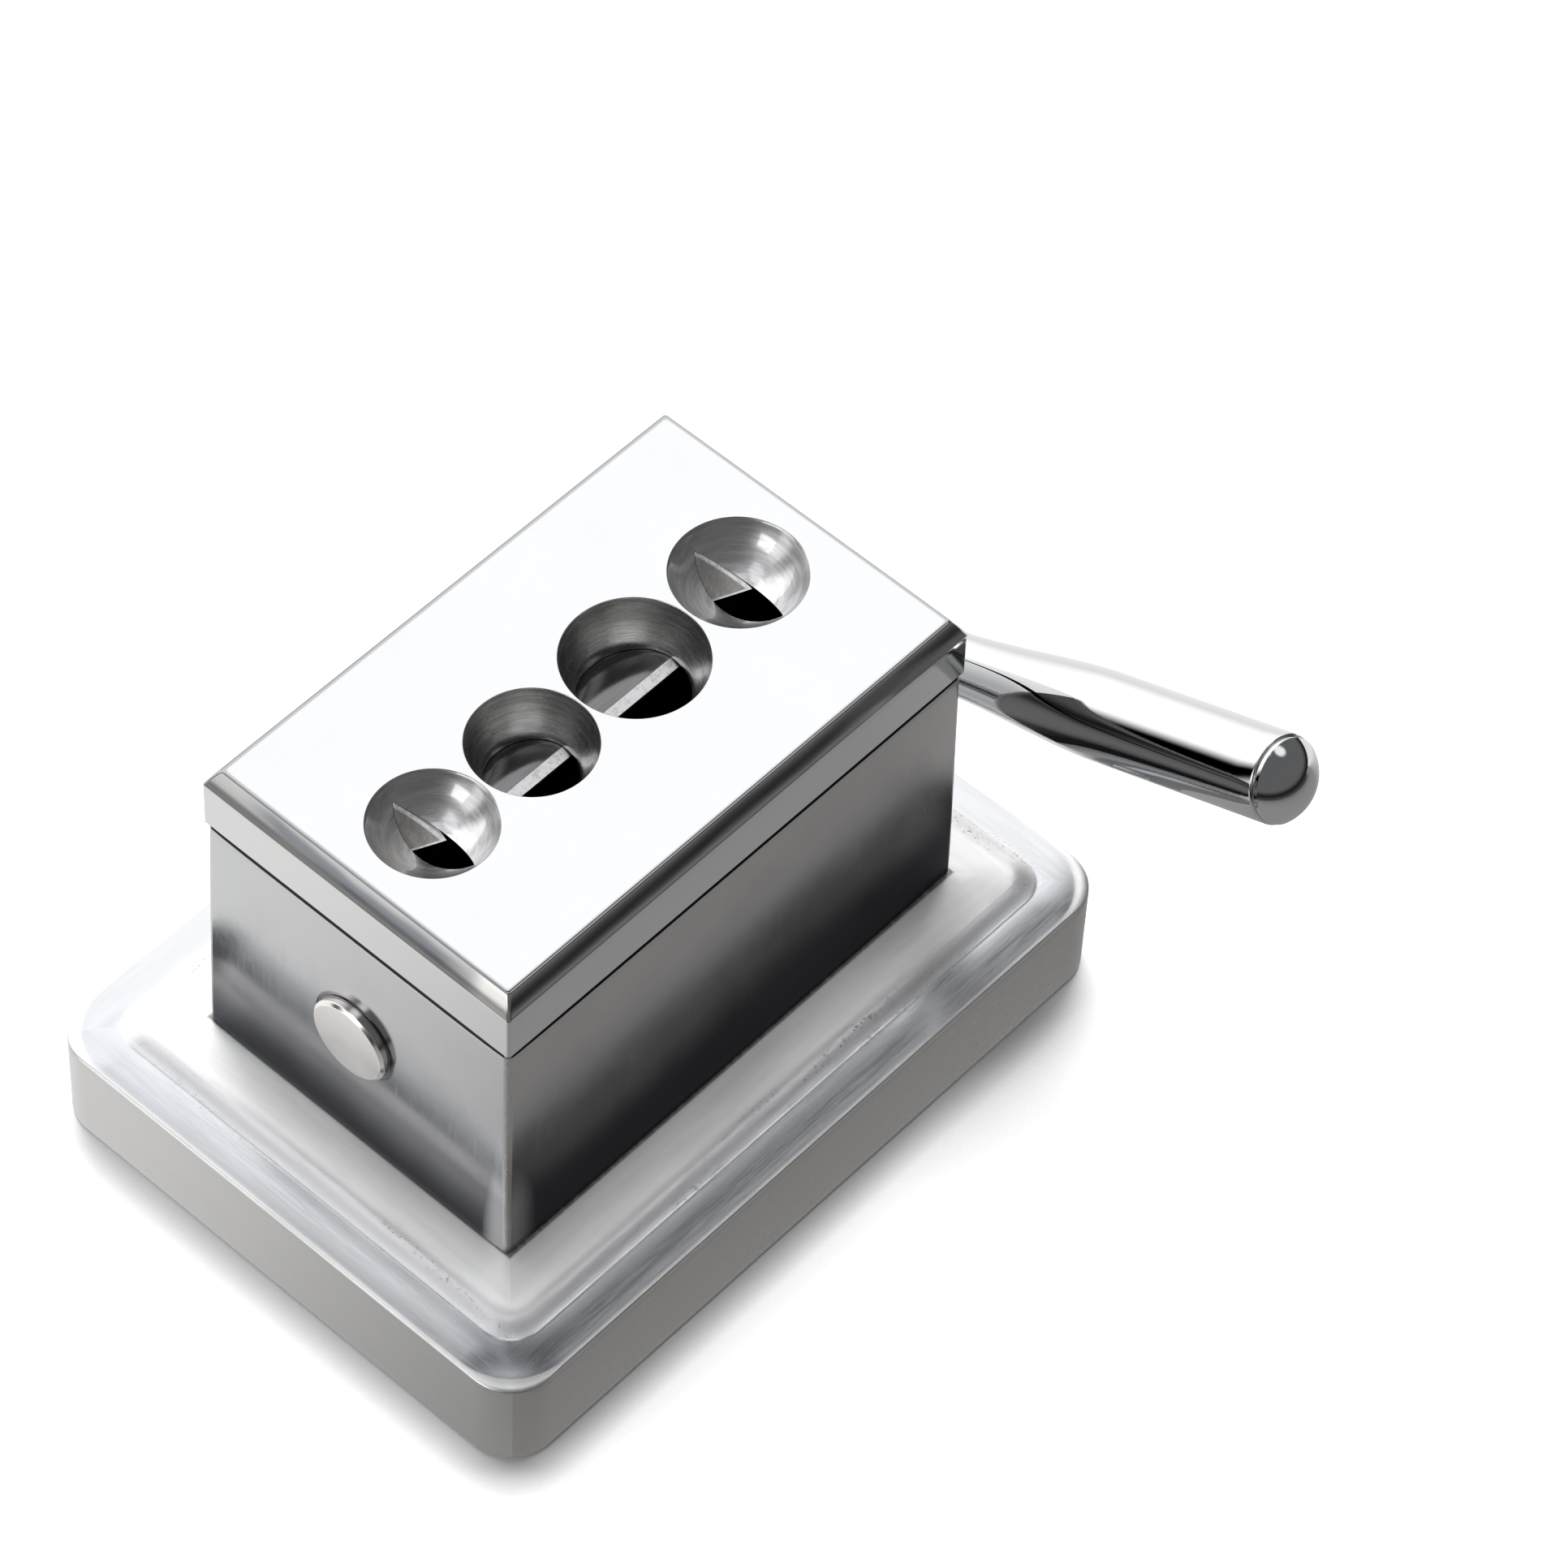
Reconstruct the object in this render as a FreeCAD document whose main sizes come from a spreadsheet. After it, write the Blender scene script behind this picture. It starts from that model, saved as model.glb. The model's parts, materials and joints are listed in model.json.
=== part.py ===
import FreeCAD, Part
import os
import re
import Sketcher
from FreeCAD import Vector, Rotation, Placement

# A desk-top cigar cutter: a heavy stepped base, a hollow box housing and a thick chamfered lid with four
# cutting holes in a row. A hand lever on the far end turns a shaft that runs the length of the housing, and
# a rocker on the shaft swings two straight blades and two V blades under the lid.
#
# Millimetres. +Z is up, Y runs along the row of holes, and the lever is on the +Y end, pointing to +X.
# The origin is on the table, under the middle of the base. The lever is half-way through its stroke.

DIMENSIONS = [
    # base: a stepped slab on a thin pad
    ("base_width", 140.5, "base size in X"),
    ("base_length", 191.5, "base size in Y"),
    ("base_corner", 11.5, "outer corner radius of the base"),
    ("foot_gap", 1.0, "metal of the base above the table"),
    ("base_edge", 0.6, "bevel round the bottom of the base"),
    ("rim_height", 27.0, "height of the base's outer rim"),
    ("rim_bevel", 1.1, "bevel of the outer rim"),
    ("ledge_inset", 9.7, "inset of the foot of the step"),
    ("ledge_height", 28.1, "height of the ledge at the foot of the step"),
    ("step_inset", 13.75, "inset of the head of the step"),
    ("step_height", 29.9, "height of the head of the step, where the plateau's slope begins"),
    ("seat_inset", 24.6, "inset of the flat seat in the middle of the plateau"),
    ("plateau_height", 31.5, "height of the seat that the housing stands on"),
    ("ledge_corner", 8.5, "corner radius of the ledge's inner edge"),
    ("step_corner", 6.0, "corner radius of the head of the step"),
    ("seat_corner", 1.5, "corner radius of the seat"),
    ("window_width", 64.0, "chute through the base, X"),
    ("window_length", 100.0, "chute through the base, Y"),
    ("cover_width", 88.0, "bottom cover, X"),
    ("cover_length", 116.0, "bottom cover, Y"),
    ("cover_thickness", 3.0, "bottom cover thickness"),
    ("cover_play", 0.3, "gap round the bottom cover"),
    ("cover_screw_x", 38.0, "cover screws, X"),
    ("cover_screw_y", 45.0, "cover screws, Y"),
    ("cover_screw_radius", 2.0, "cover screw shank"),
    ("cover_head_radius", 3.8, "cover screw head"),
    ("cover_screw_length", 12.0, "cover screw length under the head"),
    ("pad_width", 128.0, "rubber pad, outer X"),
    ("pad_length", 179.0, "rubber pad, outer Y"),
    ("pad_window_width", 96.0, "rubber pad, inner X"),
    ("pad_window_length", 144.0, "rubber pad, inner Y"),
    ("pad_thickness", 2.0, "rubber pad thickness"),
    # housing and lid
    ("body_width", 87.4, "housing under the lid, X"),
    ("body_length", 139.9, "housing under the lid, Y"),
    ("foot_width", 89.6, "housing at its foot, X"),
    ("foot_length", 142.1, "housing at its foot, Y"),
    ("face_y", 70.3, "spot faces round the shaft, Y"),
    ("spot_radius", 11.4, "spot faces round the shaft"),
    ("side_wall", 5.4, "housing wall, long sides"),
    ("end_wall", 9.0, "housing wall, short ends"),
    ("body_corner", 1.5, "rounding of the housing's upright edges"),
    ("lid_bottom", 101.5, "height of the joint between housing and lid"),
    ("lid_width", 88.0, "lid size in X"),
    ("lid_length", 140.5, "lid size in Y"),
    ("lid_edge", 13.0, "upright part of the lid's side"),
    ("lid_chamfer", 4.5, "height of the lid's chamfer"),
    ("lid_chamfer_inset", 2.9, "inset of the lid's chamfer"),
    ("lid_corner", 1.2, "rounding of the lid's upright edges"),
    ("bolt_x", 33.0, "tie bolts, X"),
    ("bolt_y", 65.45, "tie bolts, Y"),
    ("bolt_radius", 2.5, "tie bolt shank"),
    ("bolt_hole_radius", 2.8, "clearance hole for a tie bolt"),
    ("bolt_head_radius", 4.25, "tie bolt head"),
    ("bolt_head_height", 5.0, "tie bolt head height"),
    ("bolt_head_bottom", 4.0, "underside of the tie bolt heads"),
    ("bolt_top", 111.0, "top of the tie bolts, inside the lid"),
    ("thread_play", 0.05, "radial gap of a threaded or pinned piece in its hole"),
    ("dowel_radius", 2.0, "locating dowel"),
    ("dowel_length", 10.0, "locating dowel"),
    # the four cutting holes, in order along Y
    ("dish_a_y", -46.8, "small V dish, centre"),
    ("dish_a_radius", 14.1, "small V dish, rim radius"),
    ("dish_a_sphere", 16.0, "small V dish, radius of the ball it is cut with"),
    ("bore_a_y", -17.4, "small straight hole, centre"),
    ("bore_a_radius", 14.35, "small straight hole, rim radius"),
    ("bore_a_throat", 10.25, "small straight hole, throat radius"),
    ("bore_b_y", 13.8, "large straight hole, centre"),
    ("bore_b_radius", 16.3, "large straight hole, rim radius"),
    ("bore_b_throat", 12.3, "large straight hole, throat radius"),
    ("dish_b_y", 46.0, "large V dish, centre"),
    ("dish_b_radius", 15.2, "large V dish, rim radius"),
    ("dish_b_sphere", 17.0, "large V dish, radius of the ball it is cut with"),
    # shaft and bearings
    ("shaft_height", 68.0, "height of the shaft's axis"),
    ("shaft_radius", 6.0, "shaft"),
    ("shaft_play", 0.04, "radial gap between shaft and bush"),
    ("bush_radius", 8.5, "bush, outer radius"),
    ("bush_recess", 0.6, "bush end below the housing's face"),
    ("flange_radius", 12.0, "bush flange"),
    ("flange_thickness", 2.0, "bush flange"),
    ("washer_thickness", 1.0, "thrust and wave washers"),
    ("washer_radius", 11.0, "thrust and wave washers"),
    ("end_play", 0.05, "axial gap at each washer"),
    ("cap_radius", 10.4, "pivot cap on the front end of the shaft"),
    ("cap_height", 2.7, "how far the pivot cap stands out"),
    ("cap_bevel", 1.3, "bevel of the pivot cap"),
    ("cap_floor", 1.2, "metal of the cap in front of the shaft"),
    # rocker and blades: angles are from straight up, positive towards +X
    ("hub_radius", 12.5, "rocker hub"),
    ("rim_outer", 37.85, "outer radius of the rocker's rim"),
    ("rim_inner", 34.35, "inner radius of the rocker's rim"),
    ("rim_start", -30.0, "trailing edge of the rocker's rim, degrees"),
    ("rim_end", -4.0, "leading edge of the rocker's rim, degrees"),
    ("rim_front", -60.5, "front end of the rocker's rim, Y"),
    ("rim_rear", 60.0, "rear end of the rocker's rim, Y"),
    ("web_thickness", 4.0, "rocker web"),
    ("blade_outer", 39.35, "outer radius of the blades"),
    ("trough_radius", 39.5, "bored underside of the lid"),
    ("blade_start", -29.0, "trailing edge of the blades, degrees"),
    ("edge_angle", 2.5, "cutting edge of the straight blades, degrees"),
    ("blade_half", 13.0, "half the width of a straight blade in Y"),
    ("blade_half_b", 14.2, "half the width of the large straight blade in Y"),
    ("bevel_length", 3.0, "ground bevel along the straight edge"),
    ("bevel_drop", 0.7, "depth of the ground bevel at the edge"),
    ("ridge_radius", 48.9, "radius of the V blade's ridge"),
    ("groove_play", 0.2, "gap between a V blade and its groove in the lid"),
    ("ridge_half_angle", 34.0, "half the angle between the V blade's faces, degrees"),
    ("ridge_wall", 1.5, "thickness of the V blade's faces"),
    ("ridge_end", 7.0, "leading end of the V blade before it is raked, degrees"),
    ("rake_angle", 47.9, "rake of the V blade's leading edge, degrees"),
    ("rake_x", -6.4, "foot of the raked edge, X"),
    ("blade_screw_angle", -24.0, "blade screws, degrees"),
    ("blade_screw_offset", 9.3, "blade screws, to each side of the blade's middle"),
    ("blade_screw_radius", 1.5, "blade screw shank"),
    ("blade_head_radius", 2.8, "blade screw head"),
    ("set_screw_radius", 2.0, "set screws in the rocker hub"),
    ("stop_radius", 30.0, "stop pins, distance from the shaft"),
    ("stop_open", -60.3, "stop pin for the open position, degrees"),
    ("stop_shut", 22.3, "stop pin for the cut position, degrees"),
    ("stop_pin_radius", 2.0, "stop pin"),
    ("bumper_radius", 4.0, "rubber sleeve on the stop pin"),
    ("stop_reach", 6.0, "how far a stop pin stands into the housing"),
    ("stop_depth", 5.0, "how deep a stop pin sits in the wall"),
    # lever
    ("lever_angle", 23.1, "lever above the horizontal, degrees"),
    ("hub_washer_thickness", 1.5, "washer between housing and lever hub"),
    ("lever_hub_radius", 12.0, "lever hub"),
    ("lever_hub_length", 19.2, "lever hub"),
    ("lever_offset", 12.0, "axis of the lever, from the inner face of its hub"),
    ("lever_hub_bevel", 1.5, "bevel of the lever hub"),
    ("lever_seat", 10.0, "where the lever meets its hub, from the shaft"),
    ("lever_stud_end", 6.3, "inner end of the lever's stud, from the shaft"),
    ("lever_stud_radius", 4.5, "stud of the lever"),
    ("lever_neck_radius", 6.4, "lever at its hub"),
    ("lever_swell_start", 34.0, "end of the neck, from the shaft"),
    ("lever_swell_radius", 7.1, "lever at the end of its neck"),
    ("lever_swell_end", 78.0, "start of the grip, from the shaft"),
    ("grip_radius", 10.0, "grip"),
    ("grip_end", 129.0, "end of the grip, from the shaft"),
    ("end_cap_radius", 9.5, "domed end cap"),
    ("end_cap_collar", 1.2, "straight part of the end cap"),
    ("end_cap_dome", 5.0, "depth of the end cap's dome"),
    ("end_cap_stud", 4.0, "stud of the end cap"),
    ("end_cap_stud_length", 10.0, "stud of the end cap"),
]

doc = FreeCAD.newDocument("DeskCutter")
sheet = doc.addObject("Spreadsheet::Sheet", "Dims")
for row, (alias, value, note) in enumerate(DIMENSIONS, 1):
    sheet.set(f"A{row}", note)
    sheet.set(f"B{row}", str(value))
    sheet.setAlias(f"B{row}", alias)
doc.recompute()
ALIASES = {alias for alias, value, note in DIMENSIONS}
NODES = []


# Helpers ---------------------------------------------------------------------------------------------------

def expression(text):
    """Writes each alias in text as a reference to the spreadsheet."""
    return re.sub(r"[a-z_]+", lambda m: "Dims." + m[0] if m[0] in ALIASES else m[0], str(text))


def number(text):
    """The present value of an expression."""
    return FreeCAD.Units.Quantity(sheet.evalExpression(expression(text))).Value


def bind(obj, **properties):
    """Binds properties to expressions. X, Y and Z stand for the position."""
    paths = {"X": ".Placement.Base.x", "Y": ".Placement.Base.y", "Z": ".Placement.Base.z",
             "Turn": ".Placement.Rotation.Angle"}
    for name, text in properties.items():
        obj.setExpression(paths.get(name, name), expression(text))
    return obj


def turned(obj, axis, angle=0.0):
    obj.Placement = Placement(Vector(0, 0, 0), Rotation(axis, angle))
    return obj


def box(name, x, y, z, low_z):
    """A box centred on the Z axis, standing on low_z."""
    obj = doc.addObject("Part::Box", name)
    return bind(obj, Length=x, Width=y, Height=z, X=f"-({x}) / 2", Y=f"-({y}) / 2", Z=low_z)


def upright(name, radius, height, x, y, z):
    """A cylinder that stands up from z."""
    obj = doc.addObject("Part::Cylinder", name)
    return bind(obj, Radius=radius, Height=height, X=x, Y=y, Z=z)


def along_y(name, radius, low_y, high_y, x="0", z="shaft_height"):
    """A cylinder parallel to the shaft."""
    obj = turned(doc.addObject("Part::Cylinder", name), Vector(1, 0, 0), -90)
    return bind(obj, Radius=radius, Height=f"({high_y}) - ({low_y})", X=x, Y=low_y, Z=z)


def radial(obj, start, angle, y):
    """Points an object's own Z axis away from the shaft, at an angle from straight up."""
    turned(obj, Vector(0, 1, 0), 1.0)
    return bind(obj, Turn=angle, X=f"({start}) * sin(({angle}) * 1 deg)", Y=y,
                Z=f"shaft_height + ({start}) * cos(({angle}) * 1 deg)")


def fuse(name, *shapes):
    obj = doc.addObject("Part::MultiFuse", name)
    obj.Shapes = list(shapes)
    return obj


def cut(name, base, *tools):
    obj = doc.addObject("Part::Cut", name)
    obj.Base = base
    obj.Tool = tools[0] if len(tools) == 1 else fuse(name + "_tools", *tools)
    return obj


def group(name, shapes):
    obj = doc.addObject("Part::Compound", name)
    obj.Links = list(shapes)
    return obj


def node(obj, label):
    obj.Label = label
    NODES.append(obj)
    return obj


def fillet(name, base, radius, wanted):
    """Rounds the edges of base that wanted(edge) picks."""
    doc.recompute()
    obj = doc.addObject("Part::Fillet", name)
    obj.Base = base
    obj.Edges = [(i, radius, radius) for i, edge in enumerate(base.Shape.Edges, 1) if wanted(edge)]
    return obj


def rises(edge):
    """True for an edge that goes from one level to another."""
    return abs(edge.Vertexes[0].Z - edge.Vertexes[-1].Z) > 1


def rounded_rectangle(name, width, length, corner, height):
    """A closed sketch, centred on the Z axis, with rounded corners."""
    sketch = doc.addObject("Sketcher::SketchObject", name)
    w, k, c = number(width) / 2, number(length) / 2, number(corner)
    quarter = FreeCAD.Units.Quantity("90 deg").getValueAs("rad").Value

    def line(a, b):
        sketch.addGeometry(Part.LineSegment(Vector(*a, 0), Vector(*b, 0)), False)

    def corner_arc(x, y, start, end):
        circle = Part.Circle(Vector(x, y, 0), Vector(0, 0, 1), c)
        sketch.addGeometry(Part.ArcOfCircle(circle, start, end), False)

    line((-w + c, -k), (w - c, -k))
    corner_arc(w - c, -k + c, -quarter, 0)
    line((w, -k + c), (w, k - c))
    corner_arc(w - c, k - c, 0, quarter)
    line((w - c, k), (-w + c, k))
    corner_arc(-w + c, k - c, quarter, 2 * quarter)
    line((-w, k - c), (-w, -k + c))
    corner_arc(-w + c, -k + c, 2 * quarter, 3 * quarter)
    for i in range(8):
        follower = (i + 1) % 8
        sketch.addConstraint(Sketcher.Constraint("Tangent", i, 2, follower, 1))
    for i in (0, 4):
        sketch.addConstraint(Sketcher.Constraint("Horizontal", i))
    for i in (2, 6):
        sketch.addConstraint(Sketcher.Constraint("Vertical", i))
    for i in (3, 5, 7):
        sketch.addConstraint(Sketcher.Constraint("Equal", 1, i))
    sketch.addConstraint(Sketcher.Constraint("Symmetric", 0, 1, 4, 1, -1, 1))
    sizes = (("DistanceX", (6, 1), (2, 1), width), ("DistanceY", (0, 1), (4, 1), length))
    for kind, first, second, text in sizes:
        index = sketch.addConstraint(Sketcher.Constraint(kind, *first, *second, number(text)))
        sketch.setExpression(f"Constraints[{index}]", expression(text))
    index = sketch.addConstraint(Sketcher.Constraint("Radius", 1, c))
    sketch.setExpression(f"Constraints[{index}]", expression(corner))
    return bind(sketch, Z=height)


def prism(name, width, length, corner, low, high):
    """A slab with rounded corners between two heights."""
    obj = doc.addObject("Part::Extrusion", name)
    obj.Base = rounded_rectangle(name + "_outline", width, length, corner, low)
    obj.DirMode = "Custom"
    obj.Dir = Vector(0, 0, 1)
    obj.Solid = True
    return bind(obj, LengthFwd=f"({high}) - ({low})")


def turned_body(name, points, sweep="360", plane="YZ_Plane", axis="H_Axis"):
    """A body revolved from a closed outline. Each point of the outline is a pair of expressions."""
    body = doc.addObject("PartDesign::Body", name)
    sketch = body.newObject("Sketcher::SketchObject", name + "_outline")
    origin = next(f for f in body.Origin.OriginFeatures if f.Role == plane)
    sketch.AttachmentSupport = [(origin, "")]
    sketch.MapMode = "FlatFace"
    doc.recompute()
    places = [(number(u), number(v)) for u, v in points]
    for i, (u, v) in enumerate(places):
        end = places[(i + 1) % len(places)]
        sketch.addGeometry(Part.LineSegment(Vector(u, v, 0), Vector(*end, 0)), False)
    for i in range(len(points)):
        sketch.addConstraint(Sketcher.Constraint("Coincident", i, 2, (i + 1) % len(points), 1))
    for i, (u, v) in enumerate(points):
        for kind, text in (("DistanceX", u), ("DistanceY", v)):
            index = sketch.addConstraint(Sketcher.Constraint(kind, -1, 1, i, 1, number(text)))
            sketch.setExpression(f"Constraints[{index}]", expression(text))
    revolution = body.newObject("PartDesign::Revolution", name + "_turn")
    revolution.Profile = sketch
    revolution.ReferenceAxis = (sketch, [axis])
    bind(revolution, Angle=sweep)
    body.Tip = revolution
    return body


def about_shaft(obj, angle="0"):
    """Moves an object made round the Y axis onto the shaft, and turns it there."""
    turned(obj, Vector(0, 1, 0), 1.0)
    return bind(obj, Z="shaft_height", Turn=angle)


def corners(x, y):
    """The four places at plus and minus x and y."""
    return [(f"{a} * ({x})", f"{b} * ({y})") for a in (-1, 1) for b in (-1, 1)]


# Base, pad and bottom cover --------------------------------------------------------------------------------

def make_base():
    sections = [
        ("foot_gap", "base_edge", "base_corner"),
        ("foot_gap + base_edge", "0", "base_corner"),
        ("rim_height - rim_bevel", "0", "base_corner"),
        ("rim_height", "rim_bevel", "base_corner"),
        ("ledge_height", "ledge_inset", "ledge_corner"),
        ("step_height", "step_inset", "step_corner"),
        ("plateau_height", "seat_inset", "seat_corner"),
    ]
    loft = doc.addObject("Part::Loft", "base_loft")
    loft.Sections = [
        rounded_rectangle(f"base_section_{i}", f"base_width - 2 * ({inset})", f"base_length - 2 * ({inset})",
                          corner, height)
        for i, (height, inset, corner) in enumerate(sections)
    ]
    loft.Solid = True
    loft.Ruled = True
    chute = box("base_chute", "window_width", "window_length", "plateau_height + 2", "0")
    cover_seat = box("cover_seat", "cover_width + 2 * cover_play", "cover_length + 2 * cover_play",
                     "foot_gap + cover_thickness", "0")
    pad_seat = cut("pad_seat",
                   prism("pad_seat_outer", "pad_width", "pad_length", "base_corner", "0", "pad_thickness"),
                   box("pad_seat_inner", "pad_window_width", "pad_window_length", "pad_thickness + 2", "-1"))
    tools = [chute, cover_seat, pad_seat]
    for i, (x, y) in enumerate(corners("bolt_x", "bolt_y")):
        tools.append(upright(f"base_bolt_hole_{i}", "bolt_hole_radius", "plateau_height", x, y, "0"))
        tools.append(upright(f"base_bolt_recess_{i}", "bolt_head_radius + 0.4",
                             "bolt_head_bottom + bolt_head_height", x, y, "0"))
    for i, (x, y) in enumerate(corners("cover_screw_x", "cover_screw_y")):
        tools.append(upright(f"base_cover_hole_{i}", "cover_screw_radius + thread_play",
                             "cover_screw_length + 1", x, y, "foot_gap + cover_thickness"))
    for i, side in enumerate(("-bolt_y", "bolt_y")):
        tools.append(upright(f"base_dowel_hole_{i}", "dowel_radius + thread_play", "dowel_length", "0", side,
                             "plateau_height - dowel_length / 2"))
    node(cut("Base", loft, *tools), "base")


def make_pad():
    outer = prism("pad_outer", "pad_width", "pad_length", "base_corner", "0", "pad_thickness")
    inner = box("pad_inner", "pad_window_width", "pad_window_length", "pad_thickness + 2", "-1")
    node(cut("BasePad", outer, inner), "base_pad")


def countersunk(name, radius, head, depth, length):
    """A countersunk screw that points down its own +Z, with its head's top at 0."""
    cone = doc.addObject("Part::Cone", name + "_head")
    bind(cone, Radius1=head, Radius2=radius, Height=depth)
    shank = doc.addObject("Part::Cylinder", name + "_shank")
    bind(shank, Radius=radius, Height=length)
    return fuse(name, cone, shank)


def make_cover():
    plate = box("cover_plate", "cover_width", "cover_length", "cover_thickness", "foot_gap")
    head_depth = "cover_head_radius - cover_screw_radius"
    screws, tools = [], []
    for i, (x, y) in enumerate(corners("cover_screw_x", "cover_screw_y")):
        screw = countersunk(f"cover_screw_{i}", "cover_screw_radius", "cover_head_radius", head_depth,
                            "cover_thickness + cover_screw_length")
        screws.append(bind(screw, X=x, Y=y, Z="foot_gap"))
        tool = countersunk(f"cover_screw_hole_{i}", "cover_screw_radius + 0.2", "cover_head_radius + 0.2",
                           head_depth, "cover_thickness + 1")
        tools.append(bind(tool, X=x, Y=y, Z="foot_gap"))
    node(cut("BaseCover", plate, *tools), "base_cover")
    node(group("CoverScrews", screws), "cover_screws")


# Housing and lid -------------------------------------------------------------------------------------------

def make_housing():
    height = "lid_bottom - plateau_height"
    block = doc.addObject("Part::Wedge", "housing_block")
    bind(block, Xmin="-foot_width / 2", Xmax="foot_width / 2", Zmin="-foot_length / 2",
         Zmax="foot_length / 2", Ymin="0", Ymax=height, X2min="-body_width / 2", X2max="body_width / 2",
         Z2min="-body_length / 2", Z2max="body_length / 2")
    turned(block, Vector(1, 0, 0), 90)
    bind(block, Z="plateau_height")
    rounded = fillet("housing_rounded", block, sheet.body_corner, rises)
    room = box("housing_room", "body_width - 2 * side_wall", "body_length - 2 * end_wall", f"{height} + 2",
               "plateau_height - 1")
    bore = along_y("housing_bush_bore", "bush_radius", "-foot_length", "foot_length")
    front_spot = along_y("housing_front_spot", "spot_radius", "-foot_length", "-face_y")
    rear_spot = along_y("housing_rear_spot", "spot_radius", "face_y", "foot_length")
    tools = [room, bore, front_spot, rear_spot]
    for i, (x, y) in enumerate(corners("bolt_x", "bolt_y")):
        tools.append(upright(f"housing_bolt_hole_{i}", "bolt_hole_radius", f"{height} + 2", x, y,
                             "plateau_height - 1"))
    for i, side in enumerate(("-bolt_y", "bolt_y")):
        for level in ("plateau_height", "lid_bottom"):
            tools.append(upright(f"housing_{level}_dowel_{i}", "dowel_radius + thread_play", "dowel_length",
                                 "0", side, f"{level} - dowel_length / 2"))
    for name, angle in (("open", "stop_open"), ("shut", "stop_shut")):
        tools.append(along_y(f"housing_stop_{name}", "stop_pin_radius + thread_play",
                             "body_length / 2 - end_wall - 1", "body_length / 2 - end_wall + stop_depth",
                             f"stop_radius * sin({angle} * 1 deg)",
                             f"shaft_height + stop_radius * cos({angle} * 1 deg)"))
    node(cut("Housing", rounded, *tools), "housing")


def v_groove(name, y, play="groove_play"):
    """The roof-shaped groove that a V blade runs in, swept round the shaft under the lid."""
    top = f"ridge_radius + {play}"
    low = "trough_radius - 2"
    half = f"({top} - ({low})) * tan(ridge_half_angle * 1 deg)"
    points = [(f"{y} - {half}", low), (f"{y} + {half}", low), (y, top)]
    return about_shaft(turned_body(name, points, sweep="110"), "-55")


def make_lid():
    plate = box("lid_plate", "lid_width", "lid_length", "lid_edge", "lid_bottom")
    rounded = fillet("lid_rounded", plate, sheet.lid_corner, rises)
    chamfer = doc.addObject("Part::Wedge", "lid_chamfered")
    bind(chamfer, Xmin="-lid_width / 2 + 0.2", Xmax="lid_width / 2 - 0.2", Zmin="-lid_length / 2 + 0.2",
         Zmax="lid_length / 2 - 0.2", Ymin="0", Ymax="lid_chamfer",
         X2min="-lid_width / 2 + lid_chamfer_inset",
         X2max="lid_width / 2 - lid_chamfer_inset", Z2min="-lid_length / 2 + lid_chamfer_inset",
         Z2max="lid_length / 2 - lid_chamfer_inset")
    turned(chamfer, Vector(1, 0, 0), 90)
    bind(chamfer, Z="lid_bottom + lid_edge")
    chamfer_rounded = fillet("lid_chamfer_rounded", chamfer, 0.8, rises)
    block = fuse("lid_block", rounded, chamfer_rounded)
    top = "lid_bottom + lid_edge + lid_chamfer"
    tools = [along_y("lid_trough", "trough_radius", "-body_length / 2 + end_wall",
                     "body_length / 2 - end_wall")]
    for name in ("dish_a", "dish_b"):
        ball = doc.addObject("Part::Sphere", name + "_ball")
        bind(ball, Radius=f"{name}_sphere", X="0", Y=f"{name}_y",
             Z=f"{top} + sqrt({name}_sphere ^ 2 - {name}_radius ^ 2)")
        tools += [ball, v_groove(name + "_groove", f"{name}_y")]
    for name in ("bore_a", "bore_b"):
        depth = f"({top} - shaft_height - trough_radius)"
        slope = f"({name}_radius - {name}_throat) / {depth}"
        cone = doc.addObject("Part::Cone", name + "_cone")
        tools.append(bind(cone, Radius1=f"{name}_throat - 4 * {slope}", Radius2=f"{name}_radius + {slope}",
                          Height=f"{depth} + 5", X="0", Y=f"{name}_y", Z=f"{top} - {depth} - 4"))
    for i, (x, y) in enumerate(corners("bolt_x", "bolt_y")):
        tools.append(upright(f"lid_bolt_hole_{i}", "bolt_radius + thread_play", "bolt_top - lid_bottom + 2",
                             x, y, "lid_bottom - 1"))
    for i, side in enumerate(("-bolt_y", "bolt_y")):
        tools.append(upright(f"lid_dowel_hole_{i}", "dowel_radius + thread_play", "dowel_length / 2 + 1", "0",
                             side, "lid_bottom - 1"))
    node(cut("Lid", block, *tools), "lid")


def make_fasteners():
    bolts = []
    for i, (x, y) in enumerate(corners("bolt_x", "bolt_y")):
        head = upright(f"bolt_head_{i}", "bolt_head_radius", "bolt_head_height", x, y, "bolt_head_bottom")
        socket = upright(f"bolt_socket_{i}", "bolt_radius - 0.4", "bolt_head_height / 2", x, y,
                         "bolt_head_bottom")
        shank = upright(f"bolt_shank_{i}", "bolt_radius", "bolt_top - bolt_head_bottom - bolt_head_height",
                        x, y, "bolt_head_bottom + bolt_head_height")
        bolts.append(cut(f"bolt_{i}", fuse(f"bolt_solid_{i}", head, shank), socket))
    node(group("TieBolts", bolts), "tie_bolts")
    for label, level in (("base_dowels", "plateau_height"), ("lid_dowels", "lid_bottom")):
        pins = [upright(f"{label}_{i}", "dowel_radius", "dowel_length - 0.4", "0", side,
                        f"{level} - dowel_length / 2 + 0.2") for i, side in enumerate(("-bolt_y", "bolt_y"))]
        node(group(label.title().replace("_", ""), pins), label)


# Shaft and bearings ----------------------------------------------------------------------------------------

FACE = "face_y"
INNER = "(body_length / 2 - end_wall)"


def ring_at(name, outer, inner, low_y, high_y):
    return cut(name, along_y(name + "_outer", outer, low_y, high_y),
               along_y(name + "_inner", inner, f"({low_y}) - 1", f"({high_y}) + 1"))


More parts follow.
